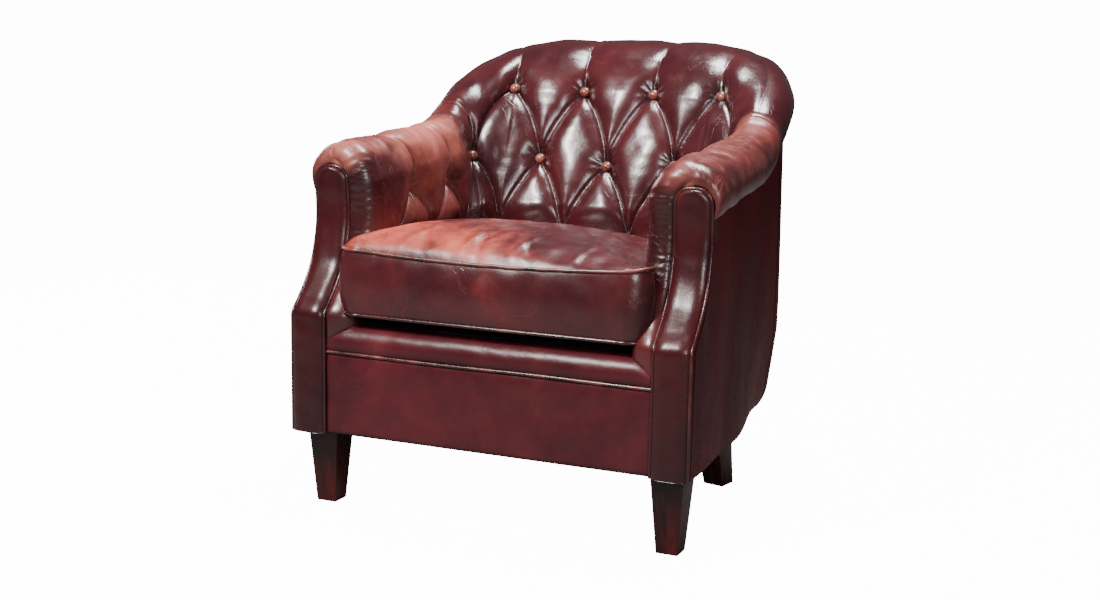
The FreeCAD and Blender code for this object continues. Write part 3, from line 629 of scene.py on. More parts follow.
@dataclass(frozen=True)
class PullUpLeather:
    """Waxed hide that pales where it is pulled or rubbed, with painted shade in its folds, dimples and
    recesses where the crown mark is low.
    """

    name: str
    slot: str
    body: Colour
    warm: Colour
    gloss: float
    crease: float
    # deep: the painted shade colour for folds, dimples and recesses; the random dark patches are drawn
    # towards it too
    deep: Colour = srgb(19, 7, 9)
    worn: Colour = srgb(166, 88, 76)
    mottle: float = 7.0
    shine: float = 0.5
    coat: float = 0.12
    shadow: float = 0.5
    streak: Colour = (1.0, 1.0, 1.0)
    patchy: float = 2.4

    def build(self) -> bpy.types.Material:
        """The material, made new."""
        n = Nodes(self.name)
        crown, wear = n.mark("crown"), n.mark("wear")
        drift = n.warp(0.03, 14.0, n.stretch(self.streak))
        cloud = n.noise(self.mottle, 4.0, 0.55, 0.15, drift)
        fine = n.noise(30.0, 4.0, 0.55, 0.1, drift)
        shade = n.span(n.add(n.times(cloud, 0.75), n.times(fine, 0.25)), 0.30, 0.70)
        colour = n.blend(shade, self.body, self.warm)
        # painted shade: where the crown mark is low, the colour is drawn towards deep
        folds = n.rest(n.span(crown, 0.0, 0.6))
        colour = n.blend(n.times(folds, 0.85), colour, self.deep)
        dark = n.span(n.noise(3.1, 3.0, 0.5, 0.3, drift), 0.5, 0.72)
        colour = n.blend(n.times(dark, self.shadow), colour, self.deep)
        lines = n.math("ABSOLUTE", n.math("SUBTRACT", n.noise(13.0, 3.0, 0.55, 0.9), 0.5))
        thin = n.rest(n.span(lines, 0.0, 0.011))
        patch = n.span(n.noise(9.0, 3.0), 0.50, 0.66)
        thread = n.times(n.times(thin, patch), self.crease)
        uneven = n.add(n.times(cloud, 0.65), n.times(fine, 0.35))
        uneven = n.times(n.math("SUBTRACT", uneven, 0.5), self.patchy)
        uneven = n.times(uneven, n.add(wear, 0.08))
        rub = n.span(n.add(wear, uneven), 0.12, 1.0)
        colour = n.blend(rub, colour, self.worn)
        colour = n.blend(n.times(thread, n.add(0.03, n.times(wear, 0.8))), colour, self.worn)
        pores = n.cells(820.0, n.warp(0.0012, 300.0))
        relief = n.bump(n.noise(120.0, 4.0, 0.6), 0.0009, 0.35)
        relief = n.bump(n.times(thread, -1.0), 0.0007, 0.5, relief)
        relief = n.bump(pores, 0.00035, 0.22, relief)
        dull = n.add(n.times(fine, 0.16), n.times(rub, 0.26))
        roughness = n.add(n.add(dull, n.times(thread, 0.12)), self.gloss - 0.08)
        coat = {"Coat_Weight": self.coat, "Coat_Roughness": 0.15, "Coat_IOR": 1.45}
        return n.finish(colour, roughness, relief, Specular_IOR_Level=self.shine, **coat)


@dataclass(frozen=True)
class StainedTimber:
    """Stained timber with grain along one axis, with painted shade drawn in where the mesh is marked.
    """

    name: str
    slot: str
    dark: Colour
    light: Colour
    along: Colour
    gloss: float
    coat: float = 0.0
    band: float = 0.0

    def build(self) -> bpy.types.Material:
        """The material, made new."""
        n = Nodes(self.name)
        lie = n.stretch(self.along)
        grain = n.noise(1.0, 6.0, 0.65, 1.2, lie)
        figure = n.noise(0.16, 3.0, 0.5, 0.6, lie)
        share = n.span(n.add(n.times(grain, 0.6), n.times(figure, 0.5)), 0.38, 0.74)
        colour = n.blend(share, self.dark, self.light)
        if self.band:
            colour = n.blend(n.times(n.mark("band"), self.band), colour, self.dark)
        relief = n.bump(n.span(n.noise(3.4, 2.0, 0.6, 0.0, lie), 0.5, 0.62), 0.0003, 0.35)
        roughness = n.add(n.times(grain, 0.2), self.gloss)
        coat = {"Coat_Weight": self.coat, "Coat_Roughness": 0.12}
        return n.finish(colour, roughness, relief, Specular_IOR_Level=0.32, **coat)


@dataclass(frozen=True)
class WovenCloth:
    """A plain-woven cloth or cord."""

    name: str
    slot: str
    dark: Colour
    light: Colour
    pitch: float

    def build(self) -> bpy.types.Material:
        """The material, made new."""
        n = Nodes(self.name)
        feeds = {"Scale": 0.2 / self.pitch, "Distortion": 0.6, "Detail": 1.0, "Vector": n.place}
        choices = {"wave_type": "BANDS", "wave_profile": "SIN"}
        x, y, z = (
            n.add_node("TexWave", feeds, bands_direction=axis, **choices).outputs["Fac"]
            for axis in "XYZ"
        )
        weave = n.times(n.add(n.add(x, y), z), 0.34)
        slub = n.noise(160.0, 2.0)
        colour = n.blend(n.span(n.times(n.add(weave, slub), 0.5), 0.2, 0.8), self.dark, self.light)
        return n.finish(colour, 0.85, n.bump(weave, 0.0004, 0.6), Sheen_Weight=0.2, Sheen_Roughness=0.5)


@dataclass(frozen=True)
class Foam:
    """Upholstery foam or wadding, faintly porous."""

    name: str
    slot: str
    dark: Colour
    light: Colour

    def build(self) -> bpy.types.Material:
        """The material, made new."""
        n = Nodes(self.name)
        pores = n.cells(700.0)
        colour = n.blend(n.span(n.add(pores, n.noise(30.0)), 0.4, 1.2), self.dark, self.light)
        return n.finish(colour, 0.92, n.bump(pores, 0.0005, 0.5))


@dataclass(frozen=True)
class BrushedMetal:
    """Zinc or spring steel with drawn marks and dull spots."""

    name: str
    slot: str
    dark: Colour
    light: Colour
    rough: float

    def build(self) -> bpy.types.Material:
        """The material, made new."""
        n = Nodes(self.name)
        drawn = n.noise(60.0, 4.0, 0.6, 0.0, n.stretch((0.2, 4.0, 4.0)))
        colour = n.blend(n.span(n.noise(35.0, 3.0), 0.4, 0.65), self.dark, self.light)
        roughness = n.add(n.times(drawn, 0.25), self.rough)
        return n.finish(colour, roughness, n.bump(drawn, 0.0001, 0.3), Metallic=1.0)


@dataclass(frozen=True)
class Moulded:
    """Moulded nylon or pressed fibreboard."""

    name: str
    slot: str
    dark: Colour
    light: Colour
    rough: float
    speck: float = 200.0

    def build(self) -> bpy.types.Material:
        """The material, made new."""
        n = Nodes(self.name)
        speck = n.noise(self.speck, 4.0, 0.7)
        colour = n.blend(n.span(speck, 0.38, 0.62), self.dark, self.light)
        return n.finish(colour, self.rough, n.bump(speck, 0.0003, 0.4))


class Finish(Enum):
    """Every finish of the chair, with the record's slot that it stands for."""

    TUFTED = PullUpLeather(
        "tufted_burgundy_leather", "burgundy_leather", srgb(45, 14, 19), srgb(68, 22, 26), 0.25, 0.45,
        coat=0.22,
    )
    ARM = PullUpLeather(
        "arm_leather", "burgundy_leather", srgb(56, 18, 23), srgb(88, 30, 31), 0.30, 1.0, shadow=0.25
    )
    # The facings' hide is a darker copy of the burgundy leather: painted shade on the upright facings.
    FACING = PullUpLeather(
        "facing_leather", "burgundy_leather", srgb(42, 10, 15), srgb(62, 16, 20), 0.30, 0.4,
        shine=0.34, coat=0.07,
    )
    FRONT = PullUpLeather(
        "front_leather", "burgundy_leather", srgb(60, 18, 25), srgb(86, 28, 34), 0.34, 0.3,
        shine=0.28, coat=0.03, shadow=0.35,
    )
    OUTSIDE = PullUpLeather(
        "outside_leather", "worn_leather", srgb(62, 12, 17), srgb(90, 20, 24), 0.42, 0.15,
        shine=0.04, coat=0.0, streak=(1.0, 1.0, 0.45),
    )
    CUSHION = PullUpLeather(
        "cushion_leather", "burgundy_leather", srgb(52, 15, 22), srgb(82, 27, 30), 0.31, 1.5,
        worn=srgb(172, 70, 52), shine=0.45, coat=0.08, shadow=0.35, patchy=3.6,
    )
    CORD = PullUpLeather(
        "piping_leather", "piping_leather", srgb(38, 12, 15), srgb(62, 22, 22), 0.26, 0.3
    )
    BUTTON = PullUpLeather(
        "button_leather", "button_leather", srgb(92, 40, 33), srgb(122, 62, 50), 0.24, 0.2,
        deep=srgb(46, 18, 15), mottle=60.0,
    )
    LEG = StainedTimber(
        "mahogany_leg", "leg_timber", srgb(14, 4, 5), srgb(80, 22, 20), (60.0, 60.0, 6.0), 0.30,
        coat=0.06, band=0.85,
    )
    BEECH = StainedTimber(
        "frame_beech", "frame_timber", srgb(150, 112, 74), srgb(204, 168, 122), (40.0, 5.0, 40.0), 0.55
    )
    BOARD = Moulded("fibreboard", "fibreboard", srgb(112, 82, 54), srgb(146, 112, 78), 0.8)
    HESSIAN = WovenCloth("hessian", "hessian", srgb(120, 94, 60), srgb(184, 156, 112), 0.0030)
    LINING = WovenCloth("black_lining", "black_lining", srgb(14, 14, 15), srgb(38, 38, 40), 0.0012)
    DECK = WovenCloth("deck_cloth", "deck_cloth", srgb(24, 15, 15), srgb(44, 28, 27), 0.0014)
    FOAM = Foam("pad_foam", "pad_foam", srgb(196, 184, 150), srgb(228, 220, 192))
    SPRING = BrushedMetal("spring_steel", "spring_steel", srgb(70, 70, 74), srgb(126, 126, 130), 0.35)
    ZINC = BrushedMetal("zinc_steel", "zinc_steel", srgb(150, 152, 156), srgb(200, 202, 206), 0.3)
    NYLON = Moulded("nylon_glide", "nylon_glide", srgb(34, 32, 30), srgb(58, 54, 50), 0.5)
    TWINE = WovenCloth("twine", "twine", srgb(140, 112, 74), srgb(196, 170, 126), 0.0010)
    ZIP = Moulded("zip", "zip", srgb(30, 18, 18), srgb(70, 44, 40), 0.4, 600.0)


@cache
def made_of(finish: Finish) -> bpy.types.Material:
    """The material of a finish, made once."""
    return finish.value.build()


# ---- the tub's plan


@dataclass
class TubPlan:
    """Half of a tub-shaped outline: bowed back, round corner, straight tapering side."""

    front_half: float
    front_y: float
    corner_radius: float
    bow_radius: float
    rear_y: float
    taper: float = math.radians(3.2)

    def __post_init__(self) -> None:
        """Finds the corner's centre and the lengths of the three stretches."""
        bow_y = self.rear_y - self.bow_radius
        spread = self.bow_radius - self.corner_radius
        self.corner_x = self.front_half - self.corner_radius
        for _ in range(40):
            self.corner_y = bow_y + math.sqrt(spread**2 - self.corner_x**2)
            fall = (self.corner_y - self.front_y) * math.sin(self.taper)
            self.corner_x = self.front_half - (self.corner_radius + fall) / math.cos(self.taper)
        self.bow_y = bow_y
        self.join = math.asin(self.corner_x / spread)
        self.square = math.pi / 2 - self.taper
        self.bow_length = self.bow_radius * self.join
        self.side_start = self.bow_length + self.corner_radius * (self.square - self.join)

    def at(self, along: Points) -> tuple[Points, Points, Points, Points]:
        """The outline at distances round from the middle of the back.

        Returns:
            x, y and the outward normal's x and y.
        """
        along = np.asarray(along, float)
        bow = along / self.bow_radius
        corner = self.join + (along - self.bow_length) / self.corner_radius
        turn = np.where(along < self.bow_length, bow, np.minimum(corner, self.square))
        radius = np.where(along < self.bow_length, self.bow_radius, self.corner_radius)
        centre_x = np.where(along < self.bow_length, 0.0, self.corner_x)
        centre_y = np.where(along < self.bow_length, self.bow_y, self.corner_y)
        run = np.maximum(along - self.side_start, 0)
        nx, ny = np.sin(turn), np.cos(turn)
        return centre_x + radius * nx + run * ny, centre_y + radius * ny - run * nx, nx, ny

    def along_side(self, depth: float) -> float:
        """The distance round at which the straight side reaches a depth."""
        start = self.at(np.array(self.side_start))[1]
        return self.side_start + (float(start) - depth) / math.cos(self.taper)

    def along_corner(self, turn: float) -> float:
        """The distance round at which the outline faces an angle from straight back."""
        return self.bow_length + self.corner_radius * (math.radians(turn) - self.join)


@dataclass
class ChairShape:
    """The sizes and curves that every cover follows."""

    roll_radius: float = 0.046
    roll_front: float = 0.080
    rim: TubPlan = field(default_factory=lambda: TubPlan(0.332, 0.094, 0.180, 1.270, 0.726))
    well: TubPlan = field(default_factory=lambda: TubPlan(0.2965, 0.100, 0.085, 1.600, 0.544))
    crest: SmoothCurve = field(
        default_factory=lambda: SmoothCurve(
            (0.06, 0.094, 0.247, 0.400, 0.460, 0.500, 0.600, 0.680, 0.726),
            (0.622, 0.629, 0.643, 0.655, 0.672, 0.701, 0.757, 0.797, 0.812),
        )
    )
    facing_line: SmoothCurve = field(
        default_factory=lambda: SmoothCurve(
            (0.128, 0.345, 0.373, 0.390, 0.414, 0.441, 0.466, 0.493, 0.520, 0.570, 0.606),
            (0.000, 0.000, 0.022, 0.037, 0.055, 0.069, 0.077, 0.083, 0.085, 0.082, 0.078),
        )
    )
    hem: float = 0.139
    facing_inner: float = 0.304
    facing_outer: float = 0.366
    arch_centre: float = 0.5685

    @property
    def facing_middle(self) -> float:
        """The distance from the chair's middle to a facing's."""
        return (self.facing_inner + self.facing_outer) / 2

    def roll_centre(self, depth: Points) -> Points:
        """Height of the roll's centre line at a depth."""
        return self.crest(depth) - self.roll_radius


# ---- the buttoned inside


class Fold:
    """One pleat of the buttoned cover, as a path over the flat cover."""

    def __init__(self, start: tuple[float, float], end: tuple[float, float], spread: float) -> None:
        """Bends the pleat.

        Args:
            start: where it leaves, across and up.
            end: where it arrives.
            spread: how far sideways it sets off before it turns down; 0 is straight.
        """
        (s0, b0), (s1, b1) = start, end
        ds, db = s1 - s0, b1 - b0
        p1 = np.array((s0 + ds * (0.33 + spread * 0.30), b0 + db * (0.33 - spread * 0.03)))
        p2 = np.array((s1 - ds * (0.33 - spread * 0.24), b1 - db * (0.33 + spread * 0.12)))
        self.path = bezier(np.linspace(0, 1, 9)[:, None], np.array(start), p1, p2, np.array(end))

    def distance(self, across: Points, up: Points, width: Points) -> tuple[Points, Points]:
        """How far points of the cover lie from the pleat, and on which side.

        Args:
            across: the points' place across the cover, in button pitches.
            up: their place up it, in metres.
            width: metres per pitch there.

        Returns:
            The distance, and -1 or 1 for the side.
        """
        best, side = np.full(across.shape, FAR), np.zeros(across.shape)
        for (s0, b0), (s1, b1) in zip(self.path[:-1], self.path[1:]):
            px, py = (across - s0) * width, up - b0
            ex, ey = (s1 - s0) * width, b1 - b0
            t = np.clip((px * ex + py * ey) / (ex**2 + ey**2 + 1e-12), 0, 1)
            gap = np.hypot(px - t * ex, py - t * ey)
            side = np.where(gap < best, np.sign(px * ey - py * ex), side)
            best = np.minimum(best, gap)
        return best, side


@dataclass
class ButtonedCover:
    """The buttoned hide that lines the tub, rolls over its rim and ends under the roll."""

    shape: ChairShape
    floor: float = 0.322
    strip_foot: float = 0.290
    low_row: float = 0.450
    face_level: float = 0.577
    knee_level: float = 0.455
    strip_level: float = 0.436
    roll_end: float = -0.66
    grid: float = 0.0023
    face_swell: float = 0.022
    arm_swell: float = 0.0215
    front_swell: float = 0.0125
    button_well: float = 0.018
    arm_well: float = 0.021
    pleat_lap: float = 0.0016
    pucker_depth: float = 0.0007
    seam_depth: float = 0.0040
    facing_gap: float = 0.004
    ruche_depth: float = 0.0017
    ruche_pitch: float = 0.0118
    arm_join: float = 2.0
    front_end: float = 5.2

    def __post_init__(self) -> None:
        """Ties places across the cover to the well and to the rim, and lays the pleats."""
        well, rim = self.shape.well, self.shape.rim
        well_sides = (well.along_side(depth) for depth in (0.39, 0.261, 0.10))
        rim_sides = (rim.along_side(depth) for depth in (0.492, 0.361, 0.220, self.shape.roll_front))
        self.well_along = SmoothCurve(
            (0, 1, 1.5, 2, 3, 4, self.front_end), (0, 0.139, 0.208, well.along_corner(60), *well_sides)
        )
        self.rim_along = SmoothCurve(
            (0, 0.5, 1, 1.5, 2, 3, 4, self.front_end), (0, 0.080, 0.159, 0.240, *rim_sides)
        )
        self.turn_drop = SmoothCurve((0, 1, 1.5, 2, 3, 5.2), (0.055, 0.055, 0.050, 0.030, 0.006, 0.006))
        self.lean = SmoothCurve((0, 1, 1.5, 2, 3, 5.2), (0.43, 0.41, 0.36, 0.24, 0.05, 0.02))
        self.high = [(-1.5, 0.718), (-0.5, 0.715), (0.5, 0.715), (1.5, 0.718)]
        self.mid = [(s, {0: 0.577, 1: 0.586, 2: 0.590}.get(abs(s), 0.549)) for s in range(-4, 5)]
        self.low = [(k - 4.5, self.low_row) for k in range(10)]
        self._lay_pleats()

    def base(self, s: Points, v: Points) -> Points:
        """The cover drawn tight to the bottoms of its buttons.

        Args:
            s: places across, in button pitches from the middle of the back.
            v: places up: 0 to 1 the inside, 1 to 2 over to the roll's top, 2 to 3 round the roll.

        Returns:
            Points, v x s x 3.
        """
        shape = self.shape
        a, sign = np.abs(s), np.where(s < 0, -1.0, 1.0)
        ix, iy, inx, iny = shape.well.at(self.well_along(np.minimum(a, 4.0)))
        rx, ry, rnx, rny = shape.rim.at(self.rim_along(a))
        front = np.clip((a - 4) / (self.front_end - 4), 0, 1)
        nose = 1 - swell((ry - shape.roll_front) / 0.026, 2.2)
        nose = np.where(a > 4, nose, 0)
        zc = mix(shape.roll_centre(ry), shape.arch_centre, nose)
        radius = mix(np.full_like(a, shape.roll_radius), 0.0355, nose)
        rx = mix(rx, shape.facing_middle, nose)
        z0 = zc - self.turn_drop(a)
        lean = self.lean(a)

        def inside(z: Points) -> Points:
            """The inside face at heights z (rows x columns).

            Args:
                z: rows x columns.

            Returns:
                The points.
            """
            knee = self.knee_level
            rise = np.where(z > knee, z - self.face_level, (knee - self.face_level) + 0.12 * (z - knee))
            x = ix + inx * lean * rise
            y = iy + iny * lean * rise
            edge = shape.facing_line(z) + self.facing_gap
            y_front = mix(y, edge, front)
            x_front = shape.well.front_half - (y_front - 0.10) * math.tan(shape.well.taper)
            tuck = 1 - swell((y_front - edge) / 0.014, 2.0)
            x_front = mix(x_front, shape.facing_inner - 0.0007, tuck)
            use = a > 4
            return np.stack([np.where(use, x_front, x), np.where(use, y_front, y), z], -1)

        parts = []
        low, turn, roll = v[v < 1], v[(v >= 1) & (v < 2)], v[v >= 2]
        if len(low):
            floor = mix(np.full_like(a, self.floor), self.strip_foot, ramp(a, 4.5, 0.3))
            parts.append(inside(floor + (z0 - floor) * low[:, None]))
        start = inside(np.broadcast_to(z0, (1, len(a))))
        top = np.stack([rx, ry, zc + radius], -1)[None]
        if len(turn):
            t = (turn - 1)[:, None, None]
            up = unit(np.stack([inx * lean, iny * lean, np.ones_like(a)], -1))
            rise = (top - start)[..., 2:3]
            reach = np.linalg.norm((top - start)[..., :2], axis=-1, keepdims=True)
            out = np.stack([rnx, rny, np.zeros_like(a)], -1)[None]
            p1 = start + up[None] * rise * 0.56
            p2 = top - out * reach * 0.54
            parts.append(bezier(t, start, p1, p2, top))
        if len(roll):
            angle = (math.pi / 2 + (self.roll_end - math.pi / 2) * (roll - 2))[:, None]
            x = rx + rnx * radius * np.cos(angle)
            y = ry + rny * radius * np.cos(angle)
            z = zc + radius * np.sin(angle)
            parts.append(np.stack([x, y, z], -1))
        points = np.concatenate(parts, 0)
        points[..., 0] *= sign
        return points

    def hidden(self, s: Points, seam: Points) -> Points:
        """The stuffing's hidden back, from under the roll down to the seat.

        Args:
            s: places across.
            seam: the cover's last visible row there.

        Returns:
            Rows of points that carry on from the seam.
        """
        shape = self.shape
        a, sign = np.abs(s), np.where(s < 0, -1.0, 1.0)
        _, _, rnx, rny = shape.rim.at(self.rim_along(a))
        face = self.base(s, np.array([0.999, 0.8, 0.6, 0.4, 0.2, 0.0]))
        _, _, inx, iny = shape.well.at(self.well_along(np.minimum(a, 5.0)))
        back = np.stack([sign * inx, iny, 0 * a], -1) * 0.027
        out = np.stack([sign * rnx, rny, 0 * a], -1)
        under = seam - out * 0.016 + np.array([0, 0, -0.004])
        inner = seam - out * 0.034 + np.array([0, 0, -0.006])
        behind = face + back
        behind[0, :, 2] = np.minimum(behind[0, :, 2], inner[:, 2] - 0.004)
        clear = shape.facing_line(behind[..., 2]) + 0.034
        behind[..., 1] = np.where(a > 4, np.maximum(behind[..., 1], clear), behind[..., 1])
        return np.concatenate([np.stack([under, inner], 0), behind], 0)

    def _climb(self, s: float, v: Points) -> tuple[Points, Points]:
        """Points up the cover at one place across, and the distance along them."""
        line = self.base(np.array([float(s)]), v)[:, 0]
        return line, length_along(line)

    def _up_at(self, s: float, z: float) -> float:
        """Distance up the cover at which it reaches a height."""
        line, run = self._climb(s, np.linspace(0, 1.95, 200))
        return float(np.interp(z, line[:, 2], run))

    def _up_end(self, s: float) -> float:
        """Distance up and over the cover to its outer seam."""
        return float(self._climb(s, np.linspace(0, 3, 300))[1][-1])

    def _lay_pleats(self) -> None:
        """Lays a pleat from each button to its neighbours and over the roll."""
        self.folds: list[tuple[float, Fold]] = []
        high, mid, low = (
            {s: self._up_at(s, z) for s, z in row} for row in (self.high, self.mid, self.low)
        )
        self.spots = [*high.items(), *mid.items(), *low.items()]
        for row, below, spread in ((high, mid, 0.55), (mid, low, 0.45)):
            for s, up in row.items():
                for step in (-0.5, 0.5):
                    if s + step in below:
                        self.folds.append((abs(s), Fold((s, up), (s + step, below[s + step]), spread)))
                if row is high or abs(s) >= self.arm_join:
                    lean = 0.05 * np.sign(s) if row is high else 0.0
                    self.folds.append((abs(s), Fold((s, up), (s + lean, self._up_end(s)), 0.0)))

    def _near_pleats(self, s: Points, across: Points, up: Points, width: Points) -> tuple[Points, ...]:
        """How near each point is to the pleats.

        Args:
            s: places across.
            across: the same, for every point.
            up: distance up the cover.
            width: metres per button pitch.

        Returns:
            The gap to the nearest pleat, the side of it, and a gap softened over all pleats.
        """
        near = np.full(up.shape, FAR)
        side, total = np.zeros(up.shape), np.zeros(up.shape)
        for home, fold in self.folds:
            if np.abs(s).min() - 1.1 <= home <= np.abs(s).max() + 1.1:
                gap, which = fold.distance(across, up, width)
                gap = np.maximum(gap, 0.0004)
                total += gap**-3.0
                side = np.where(gap < near, which, side)
                near = np.minimum(near, gap)
        return near, side, total ** (-1 / 3)

    def _near_buttons(self, across: Points, up: Points, width: Points) -> tuple[Points, Points]:
        """The gap from each point to the nearest button, and the turn of the puckers round it.

        Args:
            across: places across, for every point.
            up: distance up the cover.
            width: metres per button pitch.

        Returns:
            The gap and the turn.
        """
        spot, pucker = np.full(up.shape, FAR), np.zeros(up.shape)
        for index, (s0, b0) in enumerate(self.spots):
            dx, dy = (across - s0) * width, up - b0
            gap = np.hypot(dx, dy)
            pucker = np.where(gap < spot, np.arctan2(dy, dx) * 9 + index * 2.1, pucker)
            spot = np.minimum(spot, gap)
        return spot, pucker

    def _rub_and_pleat_highlight(self, across: Points, rows: Points, near: Points, lip: Points) -> Points:
        """How rubbed the hide is: over the arms, and more on the sitter's right, plus a faint painted
        highlight beside each pleat.

        Args:
            across: places across, for every point.
            rows: places up.
            near: the gap to the nearest pleat.
            lip: how full the cover is there.

        Returns:
            From 0 to 1.
        """
        a, right = np.abs(across), (across < 0).astype(float)
        top = bell(rows, 1.75, 0.75)
        rub = 0.06 + 0.16 * top * ramp(a, 1.6, 0.6) + 0.42 * top * ramp(a, 2.0, 0.9) * right
        rub += 0.16 * right * ramp(a, 1.9, 0.5) * (1 - 0.7 * ramp(a, 3.9, 0.8))
        rub += 0.21 * (1 - right) * ramp(rows, 1.3, 0.5) * ramp(a, 1.95, 0.1)
        rub *= 1 - 0.85 * ramp(a, 4.4, 0.5) * ramp(rows, 1.5, -0.4)
        # the last term is a painted highlight: a pale line beside each pleat
        return np.clip(rub + 0.02 * bell(near, 0.0055, 0.003) * lip, 0, 1)

    def stuffed(self, s: Points, v: Points) -> tuple[Points, Points, Points]:
        """The cover filled out between its buttons and pleats.

        Args:
            s: places across.
            v: places up.

        Returns:
            The points, the crown mark (0 in a pleat, a dimple or by the facing, 1 on a pillow's crown)
            that the finish paints as shade, and the rub with its painted pleat highlight.
        """
        points = self.base(s, v)
        width = np.linalg.norm(self.base(s + 0.004, v) - self.base(s - 0.004, v), axis=-1) / 0.008
        run = np.linalg.norm(np.diff(points, axis=0), axis=-1)
        up = np.concatenate([np.zeros((1, len(s))), np.cumsum(run, 0)], 0)
        across = np.broadcast_to(s, up.shape)
        rows = np.broadcast_to(v[:, None], up.shape)
        a, z = np.abs(across), points[..., 2]
        near, side, soft = self._near_pleats(s, across, up, width)
        spot, pucker = self._near_buttons(across, up, width)

        # pillows between the pleats, dimples at the buttons, and one side lapped over the other
        lip = np.interp(rows, [0, 1, 1.4, 2, 2.6, 3], [1, 1, 0.62, 0.17, 0.14, 0.08])
        full = mix(self.face_swell, self.arm_swell, ramp(a, 1.7, 0.7))
        full = full + self.front_swell * ramp(a, 4.0, 0.5)
        wide = np.interp(rows, [0, 1, 1.8, 3], [0.050, 0.052, 0.060, 0.060])
        pillow = 0.91 * swell(soft / wide, 1.65) + 0.09 * swell(soft / 0.0058, 1.8)
        dip = 1 - bell(spot, 0, 0.025)
        well = mix(self.button_well, self.arm_well, ramp(a, 2.2, 0.6))
        height = full * lip * pillow + well * np.minimum(lip, 0.6) * dip
        ridge = bell(near, 0.0048, 0.0026) * (side > 0)
        height += 0.0002 * ridge * (0.4 + 0.6 * lip) * ramp(spot, 0.012, 0.02)
        height += self.pucker_depth * np.sin(pucker) * bell(spot, 0.017, 0.011)
        lap = (0.55 + 0.45 * ramp(rows, 1.0, 0.5)) * ramp(rows, 3.0, -0.4) * dip
        height += self.pleat_lap * side * np.exp(-near / 0.012) * lap
        height *= mix(0.25 + 0.75 * ramp(z, 0.440, 0.060), 1.0, ramp(a, 4.55, 0.25))

        # the front edge, sewn to the facing, and the strip below it
        on_arm, strip_level = a > 4, self.strip_level
        front = np.where(rows < 2, self.shape.facing_line(z) + self.facing_gap, self.shape.roll_front)
        from_front = np.minimum(points[..., 1] - front, (self.front_end - a) * 0.15)
        from_front = np.where(on_arm, from_front, 1.0)
        taper = swell(from_front / 0.026, 2.3)
        edge_run = np.hypot(from_front, taper * full * lip)
        strip = np.where(rows < 1, ramp(z, strip_level, 0.012), 1.0)
        height *= taper
        seam = bell(z, strip_level, 0.0028) * ramp(a, 4.5, 0.2) * (rows < 1)
        height -= self.seam_depth * seam * taper
        height += (Ripple(11, 0.085)(points) * 0.0012 + Ripple(12, 0.03)(points) * 0.00018) * taper

        # the hide gathered along the facing, and drawn crosswise over the arm
        ruche = bell(from_front, 0, 0.021) * strip * on_arm
        ruche *= np.interp(rows, [0, 1.3, 2, 3], [1, 1, 0.3, 0.1])
        phase = 130 * from_front + 3.0 * Ripple(5, 0.05)(points)
        wave = np.sin(up * 2 * math.pi / self.ruche_pitch + phase)
        wave *= 0.6 + 0.5 * Ripple(6, 0.03)(points)
        ruche *= np.where(across < 0, 0.4 + 0.6 * ramp(z, 0.545, 0.030), 1.0)
        height += self.ruche_depth * ruche * (wave + 0.3) * swell(edge_run / 0.008)
        crosswise = Ripple(21, 0.035)(points * np.array([0.35, 1.6, 0.6]))
        height += 0.0008 * crosswise * ramp(rows, 1.0, 0.4) * (a > 2.0) * ramp(rows, 2.95, -0.3) * taper
        height *= np.where(a > 4.5, ramp(z, self.strip_foot, 0.040), 1.0)
        height = blur(height) * ramp(rows, 3.0, -0.06) * ease(rows / 0.02)
        normal = -grid_normals(points) * np.sign(s[-1] - s[0])

        # painted shade: the crown mark is lowered round each button, at the cover's front edge and in a
        # band along the facing
        dimple_shade = 1 - bell(spot, 0, mix(0.025, 0.036, ramp(a, 2.3, 0.3)))
        crown = (0.15 + 0.85 * swell(soft / 0.015)) * dimple_shade * (0.35 + 0.65 * ease(edge_run / 0.008))
        band = bell(from_front, 0, 0.030) * on_arm * ramp(rows, 1.7, -0.5)
        crown *= 1 - 0.82 * band * (0.3 + 0.7 * strip)
        return points + normal * height[..., None], crown, self._rub_and_pleat_highlight(across, rows, near, lip)

    def _turned_in(self, edge: Points) -> Points:
        """The cover's front edge drawn in behind the facing it is sewn to.

        Args:
            edge: the cover's last visible column.

        Returns:
            One more column, inside the facing.
        """
        shape = self.shape
        middle = math.copysign(shape.facing_middle, edge[0, 0])
        x, z = edge[:, 0], edge[:, 2]
        inwards = 0.008 * unit(np.stack([middle - x, np.minimum(z, shape.arch_centre) - z], -1))
        return np.stack([x + inwards[:, 0], shape.facing_line(z) + 0.017, z + inwards[:, 1]], -1)

    def _piece(self, name: str, s: Points, n_inside: int, n_turn: int, n_roll: int) -> Piece:
        """One stretch of the cover as a closed stuffed piece.

        Args:
            name: the piece's name.
            s: places across.
            n_inside: rows up the inside.
            n_turn: rows over to the roll's top.
            n_roll: rows round the roll.

        Returns:
            The piece, with its marks.
        """
        v = np.r_[
            np.linspace(0, 1, n_inside, endpoint=False),
            np.linspace(1, 2, n_turn, endpoint=False),
            np.linspace(2, 3, n_roll),
        ]
        visible, crown, rub = self.stuffed(s, v)
        if abs(s[-1]) >= self.front_end:
            visible = np.concatenate([visible, self._turned_in(visible[:, -1])[:, None]], 1)
            # the turned-in column gets crown 0: painted full shade where the cover goes behind the
            # facing
            crown, rub = (np.c_[marks, marks[:, -1] * 0] for marks in (crown, rub))
            s = np.r_[s, s[-1] * 1.0004]
        hidden = self.hidden(s, visible[-1])
        # the hidden rows get crown 0 too, painted as full shade
        blank = np.zeros(hidden.shape[:2])
        whole = np.concatenate([visible, hidden], 0)
        return lofted(name, whole, crown=np.r_[crown, blank], wear=np.r_[rub, blank])

